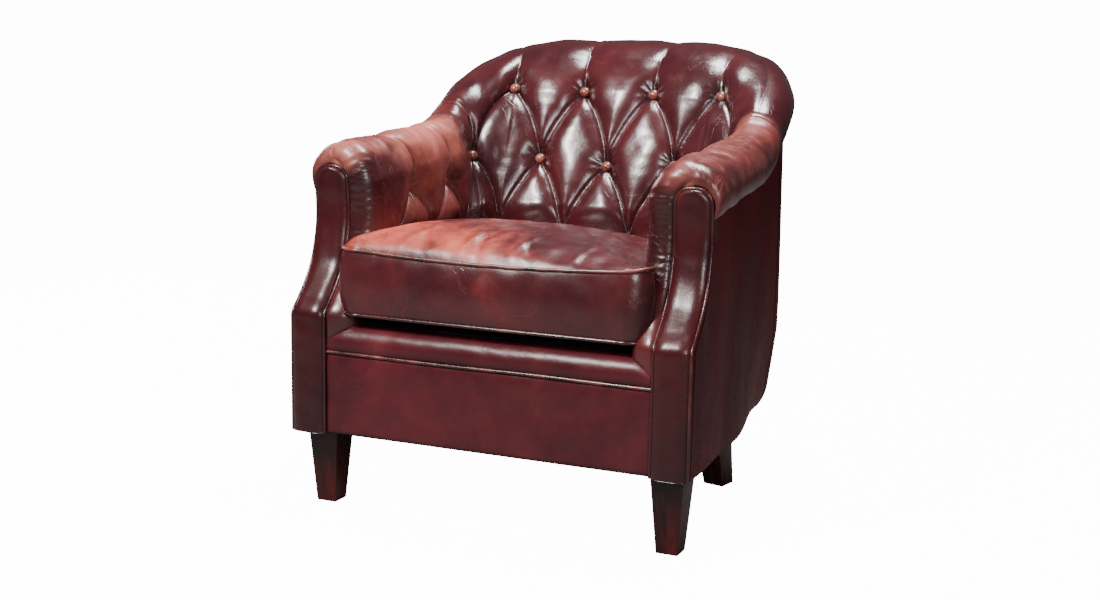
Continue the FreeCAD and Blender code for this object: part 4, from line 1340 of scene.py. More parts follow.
    def button_seats(self) -> list[tuple[float, Points, Points]]:
        """Where each visible button sits: place across, point and direction out of the cover."""
        seats = []
        for s, z in self.high + self.mid + [p for p in self.low if abs(p[0]) < 1.9]:
            v = np.linspace(0, 1.95, 400)
            at_v = float(np.interp(self._up_at(s, z), self._climb(s, v)[1], v))
            tile = self.base(s + np.array([-0.02, 0, 0.02]), np.array([at_v - 0.01, at_v, at_v + 0.01]))
            normal = unit(np.cross(tile[2, 1] - tile[0, 1], tile[1, 2] - tile[1, 0]))
            inward = np.array([0.0, 0.25, 0.62]) - tile[1, 1]
            seats.append((s, tile[1, 1], -normal if normal @ inward < 0 else normal))
        return seats

    def build(self) -> None:
        """Makes the back and the two arms."""
        step = self.grid
        across = np.linspace(-self.arm_join - 0.05, self.arm_join + 0.05, int(0.60 / step))
        counts = (int(0.40 / step), int(0.17 / step), int(0.11 / step))
        back = self._piece("inside_back_cover", across, *counts)
        attach(back, Finish.TUFTED, "inside_back_pad", "back_roll", fill=0.85)
        for side in Side:
            plain = np.linspace(self.arm_join, self.front_end - 0.3, int(0.40 / step), endpoint=False)
            s = np.r_[plain, self.front_end - 0.3 * np.linspace(1, 0, 24) ** 2] * side.value
            name = f"inside_arm_cover_{side.word}"
            arm = self._piece(name, s, int(0.27 / step), int(0.065 / step), int(0.11 / step))
            attach(arm, Finish.ARM, f"inside_arm_pad_{side.word}", f"arm_roll_{side.word}", fill=0.8)


@dataclass
class Buttons:
    """Leather-covered buttons drawn down into the cover."""

    cover: ButtonedCover
    radius: float = 0.0102
    height: float = 0.0078
    back_lift: float = 0.0060
    arm_lift: float = 0.0015

    def _dome(self, name: str) -> Piece:
        """Models one button at the origin, facing up.

        Args:
            name: the button's name.

        Returns:
            The button.
        """
        deselect()
        bpy.ops.mesh.primitive_uv_sphere_add(
            segments=28, ring_count=16, radius=self.radius, location=(0, 0, 0)
        )
        dome = bpy.context.view_layer.objects.active
        dome.name = name
        foot = (0, 0, -self.radius * 0.35)
        with editing(dome):
            bpy.ops.mesh.bisect(plane_co=foot, plane_no=(0, 0, 1), use_fill=True, clear_inner=True)
            bpy.ops.mesh.select_all(action="SELECT")
            bpy.ops.transform.resize(value=(1, 1, self.height / self.radius))
            bpy.ops.mesh.normals_make_consistent(inside=False)
        for vertex in dome.data.vertices:
            reach = math.hypot(vertex.co.x, vertex.co.y) / self.radius
            if reach > 0.6:
                turn = math.atan2(vertex.co.y, vertex.co.x)
                vertex.co.z -= 0.00035 * math.sin(turn * 9) * (reach - 0.6)
        bpy.ops.object.shade_smooth()
        return dome

    def build(self) -> None:
        """Sets the buttons in their dimples, one piece per CAD node."""
        nodes = ("back_buttons", "arm_buttons_left", "arm_buttons_right")
        groups: dict[str, list[Piece]] = {node: [] for node in nodes}
        for index, (s, point, normal) in enumerate(self.cover.button_seats()):
            on_back = abs(s) < 2.5
            dome = self._dome(f"button_{index}")
            turn = Vector(normal).to_track_quat("Z", "Y").to_matrix().to_4x4()
            spot = place(point + normal * (self.back_lift if on_back else self.arm_lift))
            dome.data.transform(Matrix.Translation(spot) @ turn)
            side = Side.LEFT if s > 0 else Side.RIGHT
            groups["back_buttons" if on_back else f"arm_buttons_{side.word}"].append(dome)
        for name, domes in groups.items():
            activate(domes[0])
            for dome in domes:
                dome.select_set(True)
            bpy.ops.object.join()
            piece = bpy.context.view_layer.objects.active
            piece.name = f"{name}_covered"
            put_marks(piece, crown=0.8, wear=0.35)
            attach(piece, Finish.BUTTON, name)


# ---- facings and outside


@dataclass
class Facing:
    """The padded front panel of one arm, with its piping."""

    shape: ChairShape
    side: Side
    bulge: float = 0.011
    round_off: float = 0.021
    depth: float = 0.026
    piping: float = 0.0031
    squareness: float = 0.84

    def _outline(self, straight: int, arch: int) -> tuple[Points, Points]:
        """Heights and half widths from the hem to the top of the arch.

        Args:
            straight: points up the straight part.
            arch: points round half the arch.

        Returns:
            The heights, and the half width at each.
        """
        radius = self.shape.facing_outer - self.shape.facing_middle
        rise = np.linspace(self.shape.hem, self.shape.arch_centre, straight, endpoint=False)
        turn = np.linspace(0, math.pi / 2 * 0.985, arch)
        heights = np.r_[rise, self.shape.arch_centre + radius * np.sin(turn) ** self.squareness]
        return heights, np.r_[np.full(straight, radius), radius * np.cos(turn) ** self.squareness]

    def build(self) -> None:
        """Makes the panel and the cord sewn round it."""
        self._panel()
        self._cord()

    def _panel(self) -> None:
        """Makes the padded panel, square-edged behind."""
        shape = self.shape
        heights, half = self._outline(190, 22)
        u = np.sin(np.linspace(-1, 1, 33) * math.pi / 2)[:, None]
        slope = (shape.facing_line(heights + 0.002) - shape.facing_line(heights - 0.002)) / 0.004
        normal = unit(np.stack([0 * slope, -np.ones_like(slope), slope], -1))
        rim_gap = half * (1 - np.abs(u))
        plane = (np.broadcast_to(k, rim_gap.shape) for k in (shape.facing_line(heights), heights))
        front = np.stack([shape.facing_middle + u * half, *plane], -1)
        lift = self.bulge * swell(rim_gap / self.round_off, 2.0)
        lift += 0.0006 * Ripple(31 + self.side.value, 0.05)(front) * swell(rim_gap / 0.01)
        front = front + normal * lift[..., None]
        sections = np.concatenate([front, front[[-1, 0]] - normal * self.depth], 0)
        sections[..., 0] *= self.side.value
        blank = np.zeros((2, len(heights)))
        wear = 0.05 + 0.10 * bell(rim_gap, 0.005, 0.004) + 0.12 * ramp(heights, 0.52, 0.08)
        wear = np.r_[wear + 0.12 * ramp(heights, 0.17, -0.04), blank]
        # painted shade: the crown mark falls towards the piped edge, and the square back gets crown 0
        crown = np.r_[0.35 + 0.6 * swell(rim_gap / 0.012), blank]
        panel = lofted(f"facing_{self.side.word}", sections, crown=crown, wear=wear)
        attach(panel, Finish.FACING, f"facing_pad_{self.side.word}", fill=0.95)

    def _cord(self) -> None:
        """Makes the cord up one edge, over the arch and down the other."""
        shape, middle = self.shape, self.shape.facing_middle
        rows = np.linspace(shape.hem, shape.arch_centre, 110, endpoint=False)
        turn = np.linspace(0, math.pi, 40)
        radius = shape.facing_outer - middle + 0.0008
        swing = np.sign(np.cos(turn)) * np.abs(np.cos(turn)) ** self.squareness
        arch = shape.arch_centre + radius * np.abs(np.sin(turn)) ** self.squareness
        x = np.r_[np.full(110, middle + radius), middle + radius * swing, np.full(110, middle - radius)]
        z = np.r_[rows, arch, rows[::-1]]
        path = np.stack([x * self.side.value, shape.facing_line(z) - 0.0012, z], -1)
        cord = cord_of(f"facing_cord_{self.side.word}", path, self.piping, False, crown=0.6, wear=0.15)
        attach(cord, Finish.CORD, f"facing_piping_{self.side.word}")


@dataclass
class OutsideCover:
    """The outside hide, from the facings round the back, tucked under at the rear corners."""

    shape: ChairShape
    offset: float = 0.0330
    tuck_level: float = 0.290
    tuck_slope: float = 0.10
    under_level: float = 0.176
    thickness: float = 0.003
    seam: float = 0.405

    @staticmethod
    def at_rear(along: Points) -> Points:
        """1 round the back, where the cover is tucked under, fading to 0 along the sides."""
        return ramp(along, 0.66, -0.24)

    def _surface(self, along: Points, z: Points) -> Points:
        """Points of the outer face at distances round from the middle of the back, and heights.

        Args:
            along: rows x columns.
            z: rows x columns.

        Returns:
            The points.
        """
        x, y, nx, ny = self.shape.rim.at(along)
        low = np.maximum(self.tuck_level - z, 0)
        under = np.clip((self.under_level - z) / 0.052, 0, 1)
        round_under = 0.034 * (1 - np.sqrt(1 - under**2 * 0.96))
        tuck = (self.tuck_slope * low + round_under) * self.at_rear(along)
        x, y = x + nx * (self.offset - tuck), y + ny * (self.offset - tuck)
        inner = np.minimum(x, self.shape.facing_outer + 0.0012)
        return np.stack([np.where(along > 0.70, mix(x, inner, ramp(along, 0.70, 0.08)), x), y, z], -1)

    def _facing_edge(self, z: Points) -> Points:
        """Distance round at which the cover meets the facing's cord.

        Args:
            z: heights.

        Returns:
            A distance for each height.
        """
        rim = self.shape.rim
        start = float(rim.at(np.array(rim.side_start))[1])
        return rim.side_start + (start - self.shape.facing_line(z) - 0.0015) / math.cos(rim.taper)

    def _top(self, around: Points) -> Points:
        """Height at which the cover is tucked up under the roll.

        Args:
            around: distances round from the middle of the back.

        Returns:
            A height for each.
        """
        shape = self.shape
        y = shape.rim.at(around)[1]
        nose = np.where(around > 0.6, 1 - swell((y - shape.roll_front) / 0.040), 0)
        return mix(shape.roll_centre(np.maximum(y, shape.roll_front)), shape.arch_centre, nose) - 0.0215

    def _panel(
        self, name: str, front: Callable[[Points], Points], back: float, columns: int, sign: int
    ) -> Piece:
        """One panel as a closed hide.

        Args:
            name: the piece's name.
            front: distance round of the forward edge at each height.
            back: distance round of the other edge, below 0 past the middle of the back.
            columns: points along it.
            sign: 1 for +X, -1 for -X.

        Returns:
            The panel.
        """
        hem = self.shape.hem
        share = np.linspace(0, 1, columns)
        level = np.linspace(0, 1, 96)[:, None]
        z = np.broadcast_to(level * 0.4 + 0.13, (len(level), columns))
        for _ in range(4):
            along = front(z) * (1 - share) + back * share
            top = self._top(np.abs(along))
            z = hem + (top - hem) * level
        below = top - z
        outer = self._surface(np.abs(along), z)
        outer[..., 0] *= np.where(along < 0, -1, 1)
        away = outer - np.array([0, 0.35, 0])
        away[..., 2] = 0
        away = unit(away)
        convex = 0.0035 * np.sin(math.pi * level) ** 0.7
        wave = np.sin(along * 2 * math.pi / 0.017 + 2.5 * Ripple(41, 0.06)(outer))
        gather = 0.0005 * np.exp(-below / 0.016) * wave
        slack = 0.0011 * Ripple(42, 0.16)(outer * np.array([1, 1, 0.5]))
        edge_gap = np.minimum(share, 1 - share) * np.abs(along[:, :1] - along[:, -1:])
        seam = -0.0022 * (1 - swell(edge_gap / 0.006))
        if back > 0:
            seam = seam + 0.0011 * bell(edge_gap, 0.0095, 0.0018) * (share < 0.5)
        outer = outer + away * (convex + gather + slack + seam)[..., None]
        inner = outer[::-6] - away[::-6] * self.thickness
        for row, facing_row in ((0, -1), (-1, 0)):
            inner[row] = outer[facing_row] - away[facing_row] * self.thickness
        sections = np.concatenate([outer, inner], 0)
        sections[..., 0] *= sign
        wear = 0.05 + 0.08 * np.exp(-edge_gap / 0.014) + 0.12 * np.exp(-((outer[..., 2] - hem) / 0.012))
        blank = np.zeros(inner.shape[:2])
        # painted shade: the crown mark falls just below the roll, and the inner face gets crown 0
        crown = np.r_[0.75 - 0.5 * np.exp(-below / 0.010), blank]
        return lofted(name, sections, crown=crown, wear=np.r_[wear, blank])

    def build(self) -> None:
        """Makes the two outside arms and the outside back."""
        for side in Side:
            arm = self._panel(f"outside_arm_{side.word}", self._facing_edge, self.seam, 120, side.value)
            attach(arm, Finish.OUTSIDE, f"outside_arm_cover_{side.word}")
        back = self._panel("outside_back", lambda z: np.full_like(z, self.seam), -self.seam, 190, 1)
        attach(back, Finish.OUTSIDE, "outside_back_cover")


@dataclass
class FrontRail:
    """What shows below the cushion: the bordered front panel, its piping and the seat lip."""

    shape: ChairShape
    half: float = 0.3038
    border_top: float = 0.284
    lip_top: float = 0.331
    lip_depth: float = 0.056
    lip_round: float = 0.030
    mitre: float = 0.040
    lip_fall: float = 0.029
    piping: float = 0.0031

    def _run(self, name: str, profile: Points, seed: int, slack: float, visible: int) -> Piece:
        """A padded strip of one profile across the chair.

        Args:
            name: the piece's name.
            profile: depth and height pairs, closed, the visible ones first.
            seed: of its unevenness.
            slack: how uneven it is.
            visible: how many profile points show.

        Returns:
            The strip.
        """
        x = np.linspace(-self.half, self.half, 170)
        points = np.zeros((len(profile), len(x), 3))
        points[..., 0] = x
        points[..., 1:] = profile[:, None, :]
        tangent = np.gradient(profile, axis=0)
        out = np.stack([-tangent[:, 1], tangent[:, 0]], -1)
        out /= np.linalg.norm(out, axis=1)[:, None] + 1e-9
        if out[visible // 2, 0] > 0:
            out = -out
        lift = slack * Ripple(seed, 0.09)(points * np.array([1, 1, 2.0]))
        lift += 0.3 * slack * Ripple(seed + 1, 0.03)(points)
        fade = np.zeros(len(profile))
        fade[:visible] = np.sin(np.linspace(0, math.pi, visible)) ** 0.5
        ends = swell((self.half - np.abs(x)) / 0.012)
        points[..., 1:] += out[:, None, :] * (lift * fade[:, None] * ends)[..., None]
        points[..., 1] += 0.003 * (1 - ends) * fade[:, None]
        inwards = np.clip((np.abs(x) - (self.half - self.mitre)) / self.mitre, 0, 1)
        fall = 1 - np.sqrt(1 - 0.995 * inwards**2)
        share = np.clip((profile[:, 1] - self.border_top) / (self.lip_top - self.border_top), 0, 1)
        points[..., 2] -= self.lip_fall * fall * share[:, None]
        # painted shade: the crown mark falls to the top and bottom edges of each strip and is lowest on
        # its hidden back
        crown = np.repeat((0.35 + 0.6 * fade)[:, None], len(x), 1)
        wear = np.repeat((0.06 + 0.06 * fade)[:, None], len(x), 1)
        wear = wear + 0.05 * Ripple(seed + 3, 0.12)(points)
        return lofted(name, points, crown=crown, wear=np.clip(wear, 0, 1))

    def build(self) -> None:
        """Makes the front panel, the cord over it and the lip."""
        rise = np.linspace(0, 1, 44)
        z = self.shape.hem + (self.border_top - 0.001 - self.shape.hem) * rise
        bow = 0.0050 * swell(np.minimum((1 - rise) * 0.150 / 0.030, 1)) * swell(rise * 0.150 / 0.012)
        face = np.stack([0.0062 - bow, z], -1)
        panel = np.r_[face, [[0.0125, self.border_top - 0.002], [0.0125, self.shape.hem + 0.001]]]
        piece = self._run("front_panel", panel, 51, 0.0008, len(face))
        attach(piece, Finish.FRONT, "front_border", fill=1.0)

        x = np.linspace(-self.half, self.half, 130)
        path = np.stack([x, np.full_like(x, 0.0035), self.border_top + 0.0006 * np.sin(x * 17)], -1)
        cord = cord_of("front_cord", path, self.piping, False, crown=0.7, wear=0.3)
        attach(cord, Finish.CORD, "border_piping")

        low, r = self.border_top + 0.0025, self.lip_round
        rise, turn = np.linspace(0, math.pi / 2, 12), np.linspace(0, math.pi / 2, 22)
        belly = np.stack([0.0045 - 0.004 * np.sin(rise), np.linspace(low, self.lip_top - r, 12)], -1)
        arc = np.stack([0.0005 + r - r * np.cos(turn), self.lip_top - r + r * np.sin(turn)], -1)[1:]
        back, top = self.lip_depth, self.lip_top
        flat = np.stack([np.linspace(r + 0.002, back, 8), top - np.linspace(0, 0.004, 8)], -1)[1:]
        under = np.array([[back, top - 0.03], [back - 0.01, low + 0.004], [0.012, low]])
        profile = np.r_[belly, arc, flat, under]
        lip = self._run("seat_lip", profile, 61, 0.0004, len(profile) - 3)
        attach(lip, Finish.FRONT, "lip_roll", fill=0.9)


@dataclass
class Deck:
    """The platform under the cushion: a padded board's worth of stitched cloth."""

    shape: ChairShape
    front: float = 0.0610
    rear: float = 0.4825
    half: float = 0.2930
    base: float = 0.3005
    top: float = 0.3487
    corner: float = 0.080
    edge: float = 0.014

    def build(self) -> None:
        """Makes the platform, soft at its edges, with a seam along its front."""
        close = self.front + 0.03
        y = np.r_[np.linspace(self.front, close, 14)[:-1], np.linspace(close, self.rear, 84)]
        into = np.clip((y - (self.rear - self.corner)) / self.corner, 0, 1)
        half = self.half - (y - self.front) * math.tan(self.shape.well.taper)
        half = half - self.corner * (1 - np.sqrt(1 - 0.98 * into**2))
        u = np.sin(np.linspace(-1, 1, 75) * math.pi / 2)[:, None]
        points = np.zeros((77, len(y), 3))
        points[:75, :, 0] = u * half
        points[..., 1] = y
        gap = np.minimum(np.minimum((1 - np.abs(u)) * half, y - self.front), self.rear + 0.004 - y)
        sag = 0.0008 * Ripple(121, 0.10)(points[:75]) - 0.0012
        z = self.top - 0.010 * (1 - swell(gap / self.edge, 2.0)) + sag * swell(gap / 0.05)
        z -= 0.0022 * bell(y - self.front, 0.052, 0.0028) * swell(gap / 0.01)
        points[:75, :, 2] = z
        points[75] = np.stack([half, y, np.full_like(y, self.base)], -1)
        points[76] = np.stack([-half, y, np.full_like(y, self.base)], -1)
        deck = lofted("seat_deck", points)
        attach(deck, Finish.DECK, "deck_pad", "deck_cover", fill=0.9)


# ---- the loose cushion


@dataclass
class Cushion:
    """The loose seat cushion: crowned top and bottom, boxed border, welted edges."""

    shape: ChairShape
    half: float = 0.2835
    front: float = 0.0045
    rear: float = 0.4735
    low: float = 0.3530
    high: float = 0.4600
    front_round: float = 0.042
    pinch: float = 0.016
    rear_round: float = 0.080
    crown: float = 0.061
    crown_reach: float = 0.21
    belly: float = 0.0015
    border_bulge: float = 0.0100
    welt: float = 0.0030
    front_welt: SmoothCurve = field(
        default_factory=lambda: SmoothCurve(
            (-0.30, -0.27, -0.20, -0.10, 0.0, 0.10, 0.20, 0.25, 0.285),
            (0.008, 0.007, 0.0045, 0.001, 0.0, 0.001, 0.006, 0.010, 0.016),
        )
    )
    sit_lines: tuple[tuple[float, float, float], ...] = (
        (-0.17, 0.55, 0.0016), (-0.115, -0.30, -0.0018), (-0.055, 0.42, 0.0019),
        (-0.012, -0.22, -0.0020), (0.040, 0.35, 0.0017), (0.085, -0.45, -0.0016), (0.150, 0.25, 0.0014),
    )
    line_width: float = 0.0075
    across: int = 92
    deep: int = 74
    tall: int = 16
    cloth_cap: float = 0.009

    def _outline(self) -> Points:
        """The plan of the welt as a closed ring, starting at the front left corner's middle."""
        taper = math.tan(self.shape.well.taper)

        def corner(cx: float, cy: float, radius: float, start: float, end: float, n: int) -> Points:
            """A quarter or part of one, turned from start to end in degrees."""
            turn = np.radians(np.linspace(start, end, n))
            return np.stack([cx + radius * np.cos(turn), cy + radius * np.sin(turn)], -1)

        rear_half = self.half - (self.rear - self.front - self.rear_round) * taper - 0.3 * self.pinch
        fr, rr = self.front_round, self.rear_round
        x_front = np.linspace(-(self.half - fr), self.half - fr, 160)
        front = np.stack([x_front, self.front + 0.0025 * (x_front / self.half) ** 2], -1)
        side_y = np.linspace(self.front + fr, self.rear - rr, 120)
        side_x = self.half - (side_y - self.front) * taper
        side_x -= self.pinch * (ramp(side_y, 0.025, 0.06) * (1 - 0.7 * ramp(side_y, 0.14, 0.12)))
        right = np.stack([side_x, side_y], -1)
        x_rear = np.linspace(rear_half - rr, -(rear_half - rr), 160)
        rear = np.stack([x_rear, self.rear + 0.006 * (1 - (x_rear / rear_half) ** 2)], -1)
        return np.r_[
            corner(-(self.half - fr), self.front + fr, fr, 225, 270, 14)[:-1],
            front,
            corner(self.half - fr, self.front + fr, fr, 270, 357, 26)[1:],
            right,
            corner(rear_half - rr, self.rear - rr, rr, 357, 450, 44)[1:],
            rear,
            corner(-(rear_half - rr), self.rear - rr, rr, 90, 183, 44)[1:],
            right[::-1] * np.array([-1, 1]),
            corner(-(self.half - fr), self.front + fr, fr, 183, 225, 14),
        ]

    def _sides(self) -> Points:
        """The ring resampled so that each of its four sides has its own share of points."""
        ring = self._outline()
        run = length_along(ring)
        targets = ((self.half, self.front), (self.half, self.rear), (-self.half, self.rear))
        corners = (run[np.argmin(np.hypot(*(ring - np.array(target)).T))] for target in targets)
        stops = [0.0, *corners, run[-1]]
        counts = (self.across, self.deep, self.across, self.deep)
        sides = zip(stops, stops[1:], counts)
        where = np.concatenate([np.linspace(a, b, n, endpoint=False) for a, b, n in sides])
        return np.stack([np.interp(where, run, ring[:, k]) for k in (0, 1)], -1)

    def _outwards(self, ring: Points) -> Points:
        """The way out from the ring's middle, at each of its points."""
        return unit(ring - ring.mean(0))

    def _patch(self, ring: Points) -> tuple[Points, Points]:
        """A four-sided grid of the plan inside the ring, and each point's index on the ring or -1.

        Args:
            ring: the plan of the welt.

        Returns:
            The grid, and the indices.
        """
        nx, ny = self.across, self.deep
        front = ring[: nx + 1]
        right = ring[nx : nx + ny + 1]
        rear = ring[nx + ny : 2 * nx + ny + 1][::-1]
        left = np.r_[ring[2 * nx + ny :], ring[:1]][::-1]
        u, w = np.linspace(0, 1, nx + 1)[:, None, None], np.linspace(0, 1, ny + 1)[None, :, None]
        coons = (
            (1 - w) * front[:, None] + w * rear[:, None] + (1 - u) * left[None] + u * right[None]
            - (1 - u) * (1 - w) * front[0] - u * (1 - w) * front[-1]
            - (1 - u) * w * rear[0] - u * w * rear[-1]
        )
        on_ring = np.full((nx + 1, ny + 1), -1)
        on_ring[:, 0] = np.arange(nx + 1)
        on_ring[nx, :] = np.arange(nx, nx + ny + 1)
        on_ring[:, ny] = np.arange(nx + ny, 2 * nx + ny + 1)[::-1]
        on_ring[0, 1:] = np.arange(2 * nx + ny, 2 * nx + 2 * ny)[::-1]
        on_ring[0, ny] = 2 * nx + ny
        on_ring[0, 0] = 0
        return coons, on_ring

    def _settled(self, plan: Points) -> Points:
        """How far years of sitting have lowered the top towards the rear."""
        return ramp(plan[..., 1], 0.06, 0.30) * (0.034 + 0.004 * plan[..., 0] / 0.28)

    def _edge_wave(self, ring: Points) -> Points:
        """How much the top welt rises and dips along the ring.

        Args:
            ring: the plan of the welt.

        Returns:
            A height for each point of it.
        """
        flat = np.c_[ring, np.zeros(len(ring))]
        front = self.front_welt(ring[:, 0]) * (1 - ease(ring[:, 1] / 0.14))
        uneven = 0.0006 * Ripple(81, 0.11)(flat) + 0.0003 * Ripple(82, 0.04)(flat)
        return uneven + front - self._settled(ring)

    def _shell(self) -> tuple[Points, list[tuple[int, ...]], Points]:
        """Points and faces of the closed case, and which points the welts hold."""
        ring = self._sides()
        patch, on_ring = self._patch(ring)
        count = len(ring)
        top_edge = self.high + self._edge_wave(ring)
        away = self._outwards(ring)
        rows = []
        for t in np.linspace(0, 1, self.tall + 1):
            out = self.border_bulge * math.sin(math.pi * t) ** 0.58
            rows.append(np.c_[ring + away * out, self.low + (top_edge - self.low) * t])
        points = [np.concatenate(rows, 0)]
        total = len(points[0])
        faces: list[tuple[int, ...]] = []
        for low in range(0, self.tall * count, count):
            for k in range(count):
                n = (k + 1) % count
                faces.append((low + k, low + n, low + count + n, low + count + k))
        held = np.zeros(total)
        held[:count] = held[-count:] = 1
        gap = np.full(patch.shape[:2], FAR)
        for start, step in zip(ring, np.roll(ring, -1, axis=0) - ring):
            along = np.clip(((patch - start) @ step) / (step @ step), 0, 1)
            gap = np.minimum(gap, np.linalg.norm(patch - start - along[..., None] * step, axis=-1))
        sag = 1 - np.where(patch[..., 0] < 0, 0.2, 0.35) * (patch[..., 0] / self.half) ** 2
        filled = swell(gap / self.crown_reach, 1.95 - 0.35 * np.tanh(patch[..., 0] / 0.15)) * sag
        for top in (True, False):
            if top:
                z = self.high + self.crown * filled - self._settled(patch)
            else:
                z = self.low - self.belly * filled
            index = np.zeros(patch.shape[:2], int)
            inside = []
            for i in range(patch.shape[0]):
                for j in range(patch.shape[1]):
                    if on_ring[i, j] >= 0:
                        index[i, j] = on_ring[i, j] % count + (self.tall * count if top else 0)
                    else:
                        index[i, j] = total + len(inside)
                        inside.append((*patch[i, j], z[i, j]))
            points.append(np.array(inside))
            held = np.r_[held, np.zeros(len(inside))]
            total += len(inside)
            for i in range(patch.shape[0] - 1):
                for j in range(patch.shape[1] - 1):
                    face = (index[i, j], index[i + 1, j], index[i + 1, j + 1], index[i, j + 1])
                    faces.append(face if top else face[::-1])
        return np.concatenate(points, 0), faces, held

    def _inflate(self, case: Piece, held: Points) -> None:
        """Lets the case swell between its welts as cloth under pressure, by a capped amount.

        Args:
            case: the closed case.
            held: 1 for each point that a welt holds.
        """
        rest = corners_of(case)
        group = case.vertex_groups.new(name="welt")
        group.add([int(k) for k in np.flatnonzero(held)], 1.0, "REPLACE")
        cloth = case.modifiers.new("stuffing", "CLOTH").settings
        cloth.vertex_group_mass = "welt"
        cloth.use_pressure, cloth.uniform_pressure_force = True, 3.0
        cloth.effector_weights.gravity = 0
        cloth.tension_stiffness, cloth.bending_stiffness = 12, 2.0
        cloth.quality, cloth.mass = 5, 0.3
        scene = bpy.context.scene
        for number in range(1, 16):
            scene.frame_set(number)
        apply_modifiers(case)
        scene.frame_set(1)
        shift = corners_of(case) - rest
        length = np.linalg.norm(shift, axis=1)
        shift *= (self.cloth_cap * np.tanh(length / self.cloth_cap) / np.maximum(length, 1e-9))[:, None]
        case.data.vertices.foreach_set("co", (rest + shift).ravel())
        case.vertex_groups.clear()

    def build(self) -> None:
        """Makes the case and its welts."""
        points, faces, held = self._shell()
        case = skin("seat_cushion", points, faces)
        self._inflate(case, held)
        finer = case.modifiers.new("finer", "SUBSURF")
        finer.levels = finer.render_levels = 1
        apply_modifiers(case)
        self._crease(case)
        nodes = (f"cushion_{part}" for part in ("core", "border", "top", "bottom"))
        attach(case, Finish.CUSHION, *nodes, fill=0.75, body=Body.CUSHION)
        ring = self._sides()
        path = ring + self._outwards(ring) * 0.0016
        low = np.full(len(ring), self.low + 0.0010)
        for name, z, wear in (("top", self.high + self._edge_wave(ring), 0.4), ("bottom", low, 0.12)):
            whole = np.c_[path, z]
            cord = cord_of(f"cushion_cord_{name}", whole, self.welt, True, crown=0.7, wear=wear)
            attach(cord, Finish.CORD, f"cushion_welt_{name}", body=Body.CUSHION)

    def _crease(self, case: Piece) -> None:
        """Adds soft hollows and the marks that the finish reads, with painted shade on the border.

        Args:
            case: the finished case.
        """
        co = corners_of(case)
        local = co - np.array([0, FRONT_Y, 0])
        x, y, z = local.T
        on_top = ramp(z, self.high + 0.001, 0.010)
        soft = 0.0022 * Ripple(91, 0.13)(local) + 0.0007 * Ripple(92, 0.045)(local)
        for start, lean, depth in self.sit_lines:
            line = bell(x - start - lean * y, 0, self.line_width)
            soft += depth * line * ease(y / 0.02) * bell(np.maximum(y - 0.05, 0), 0, 0.06)
        co[:, 2] += soft * on_top
        side = ramp(z, self.high, -0.02) * ramp(z, self.low, 0.02)
        co[:, 1] -= side * 0.0012 * Ripple(93, 0.08)(local) * (y < 0.05)
        case.data.vertices.foreach_set("co", co.ravel())
        left_front = ramp(x, 0.10, -0.30) * (1 - 0.55 * ramp(y, 0.12, 0.3))
        middle_front = bell(x, 0, 0.11) * bell(y, 0.02, 0.09)
        wear = on_top * (0.08 + 0.42 * left_front + 0.38 * middle_front)
        wear += side * (0.05 + 0.10 * bell(x, 0, 0.12) * (y < 0.05))
        wear += 0.12 * bell(z, self.high, 0.006)
        # painted shade: the border is darker than the top, most towards the +X side
        crown = 0.55 + 0.45 * on_top - 0.35 * side * ramp(x, 0.15, 0.2)
        put_marks(case, crown=np.clip(crown, 0, 1), wear=np.clip(wear, 0, 1))


# ---- legs and the hidden frame


@dataclass
class Legs:
    """Tapered timber legs with eased edges."""

    easing: float = 0.0022

    def build(self) -> None:
        """Copies each leg's blank and eases its edges."""
        for end in ("front", "rear"):
            for side in Side:
                node = f"{end}_leg_{side.word}"
                leg = copy_of_node(node, "turned")
                with editing(leg, merge=True):
                    bpy.ops.mesh.dissolve_limited(angle_limit=math.radians(3))
                bevel = leg.modifiers.new("easing", "BEVEL")
                bevel.width, bevel.segments, bevel.limit_method = self.easing, 3, "ANGLE"
                bevel.angle_limit = math.radians(30)
                apply_modifiers(leg)
                bpy.ops.object.shade_smooth_by_angle(angle=math.radians(40))
                # painted shade on the top of each leg, just under the chair's hem
                put_marks(leg, band=ramp(corners_of(leg)[:, 2], 0.095, 0.03))
                attach(leg, Finish.LEG, node)


@dataclass
class TrimmedFrame:
    """The frame's lower outer edges, planed back where the hide is tucked under at the rear."""

    shape: ChairShape
    hidden: "HiddenWork"
    stations: tuple[float, ...] = (0.0, 0.09, 0.18, 0.26, 0.33, 0.40, 0.48, 0.56)
    clearance: float = 0.0068
    cuts: tuple[tuple[float, float, float], ...] = (
        (OutsideCover.tuck_level, 0.0, OutsideCover.tuck_slope),
        (OutsideCover.under_level, 0.0114, 0.34),
    )
    trimmed: tuple[str, ...] = ("back_board", "back_rail", "dust_cover", "side_rail", "arm_board")

    def _planes(self) -> list[tuple[Vector, Vector]]:
        """A point and an outward direction for each plane that trims the timber."""
        planes = []
        for along in self.stations:
            x, y, nx, ny = (float(k) for k in self.shape.rim.at(np.array(along)))
            rear = float(OutsideCover.at_rear(np.array(along)))
            for height, tuck, slope in self.cuts:
                offset = OutsideCover.offset - self.clearance - tuck * rear
                for sign in (1, -1):
                    spot = place(np.array([sign * (x + nx * offset), y + ny * offset, height]))
                    planes.append((Vector(spot), Vector((sign * nx, ny, -slope * rear)).normalized()))
        return planes

    def build(self) -> None:
        """Copies each node that the hide is tucked over, and trims it."""
        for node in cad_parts:
            if not node.startswith(self.trimmed):
                continue
            piece = copy_of_node(node, "trimmed")
            with editing(piece, merge=True):
                for spot, out in self._planes():
                    bpy.ops.mesh.select_all(action="SELECT")
                    bpy.ops.mesh.bisect(plane_co=spot, plane_no=out, use_fill=True, clear_outer=True)
            bpy.ops.object.shade_flat()
            attach(piece, self.hidden.pick(node), node)


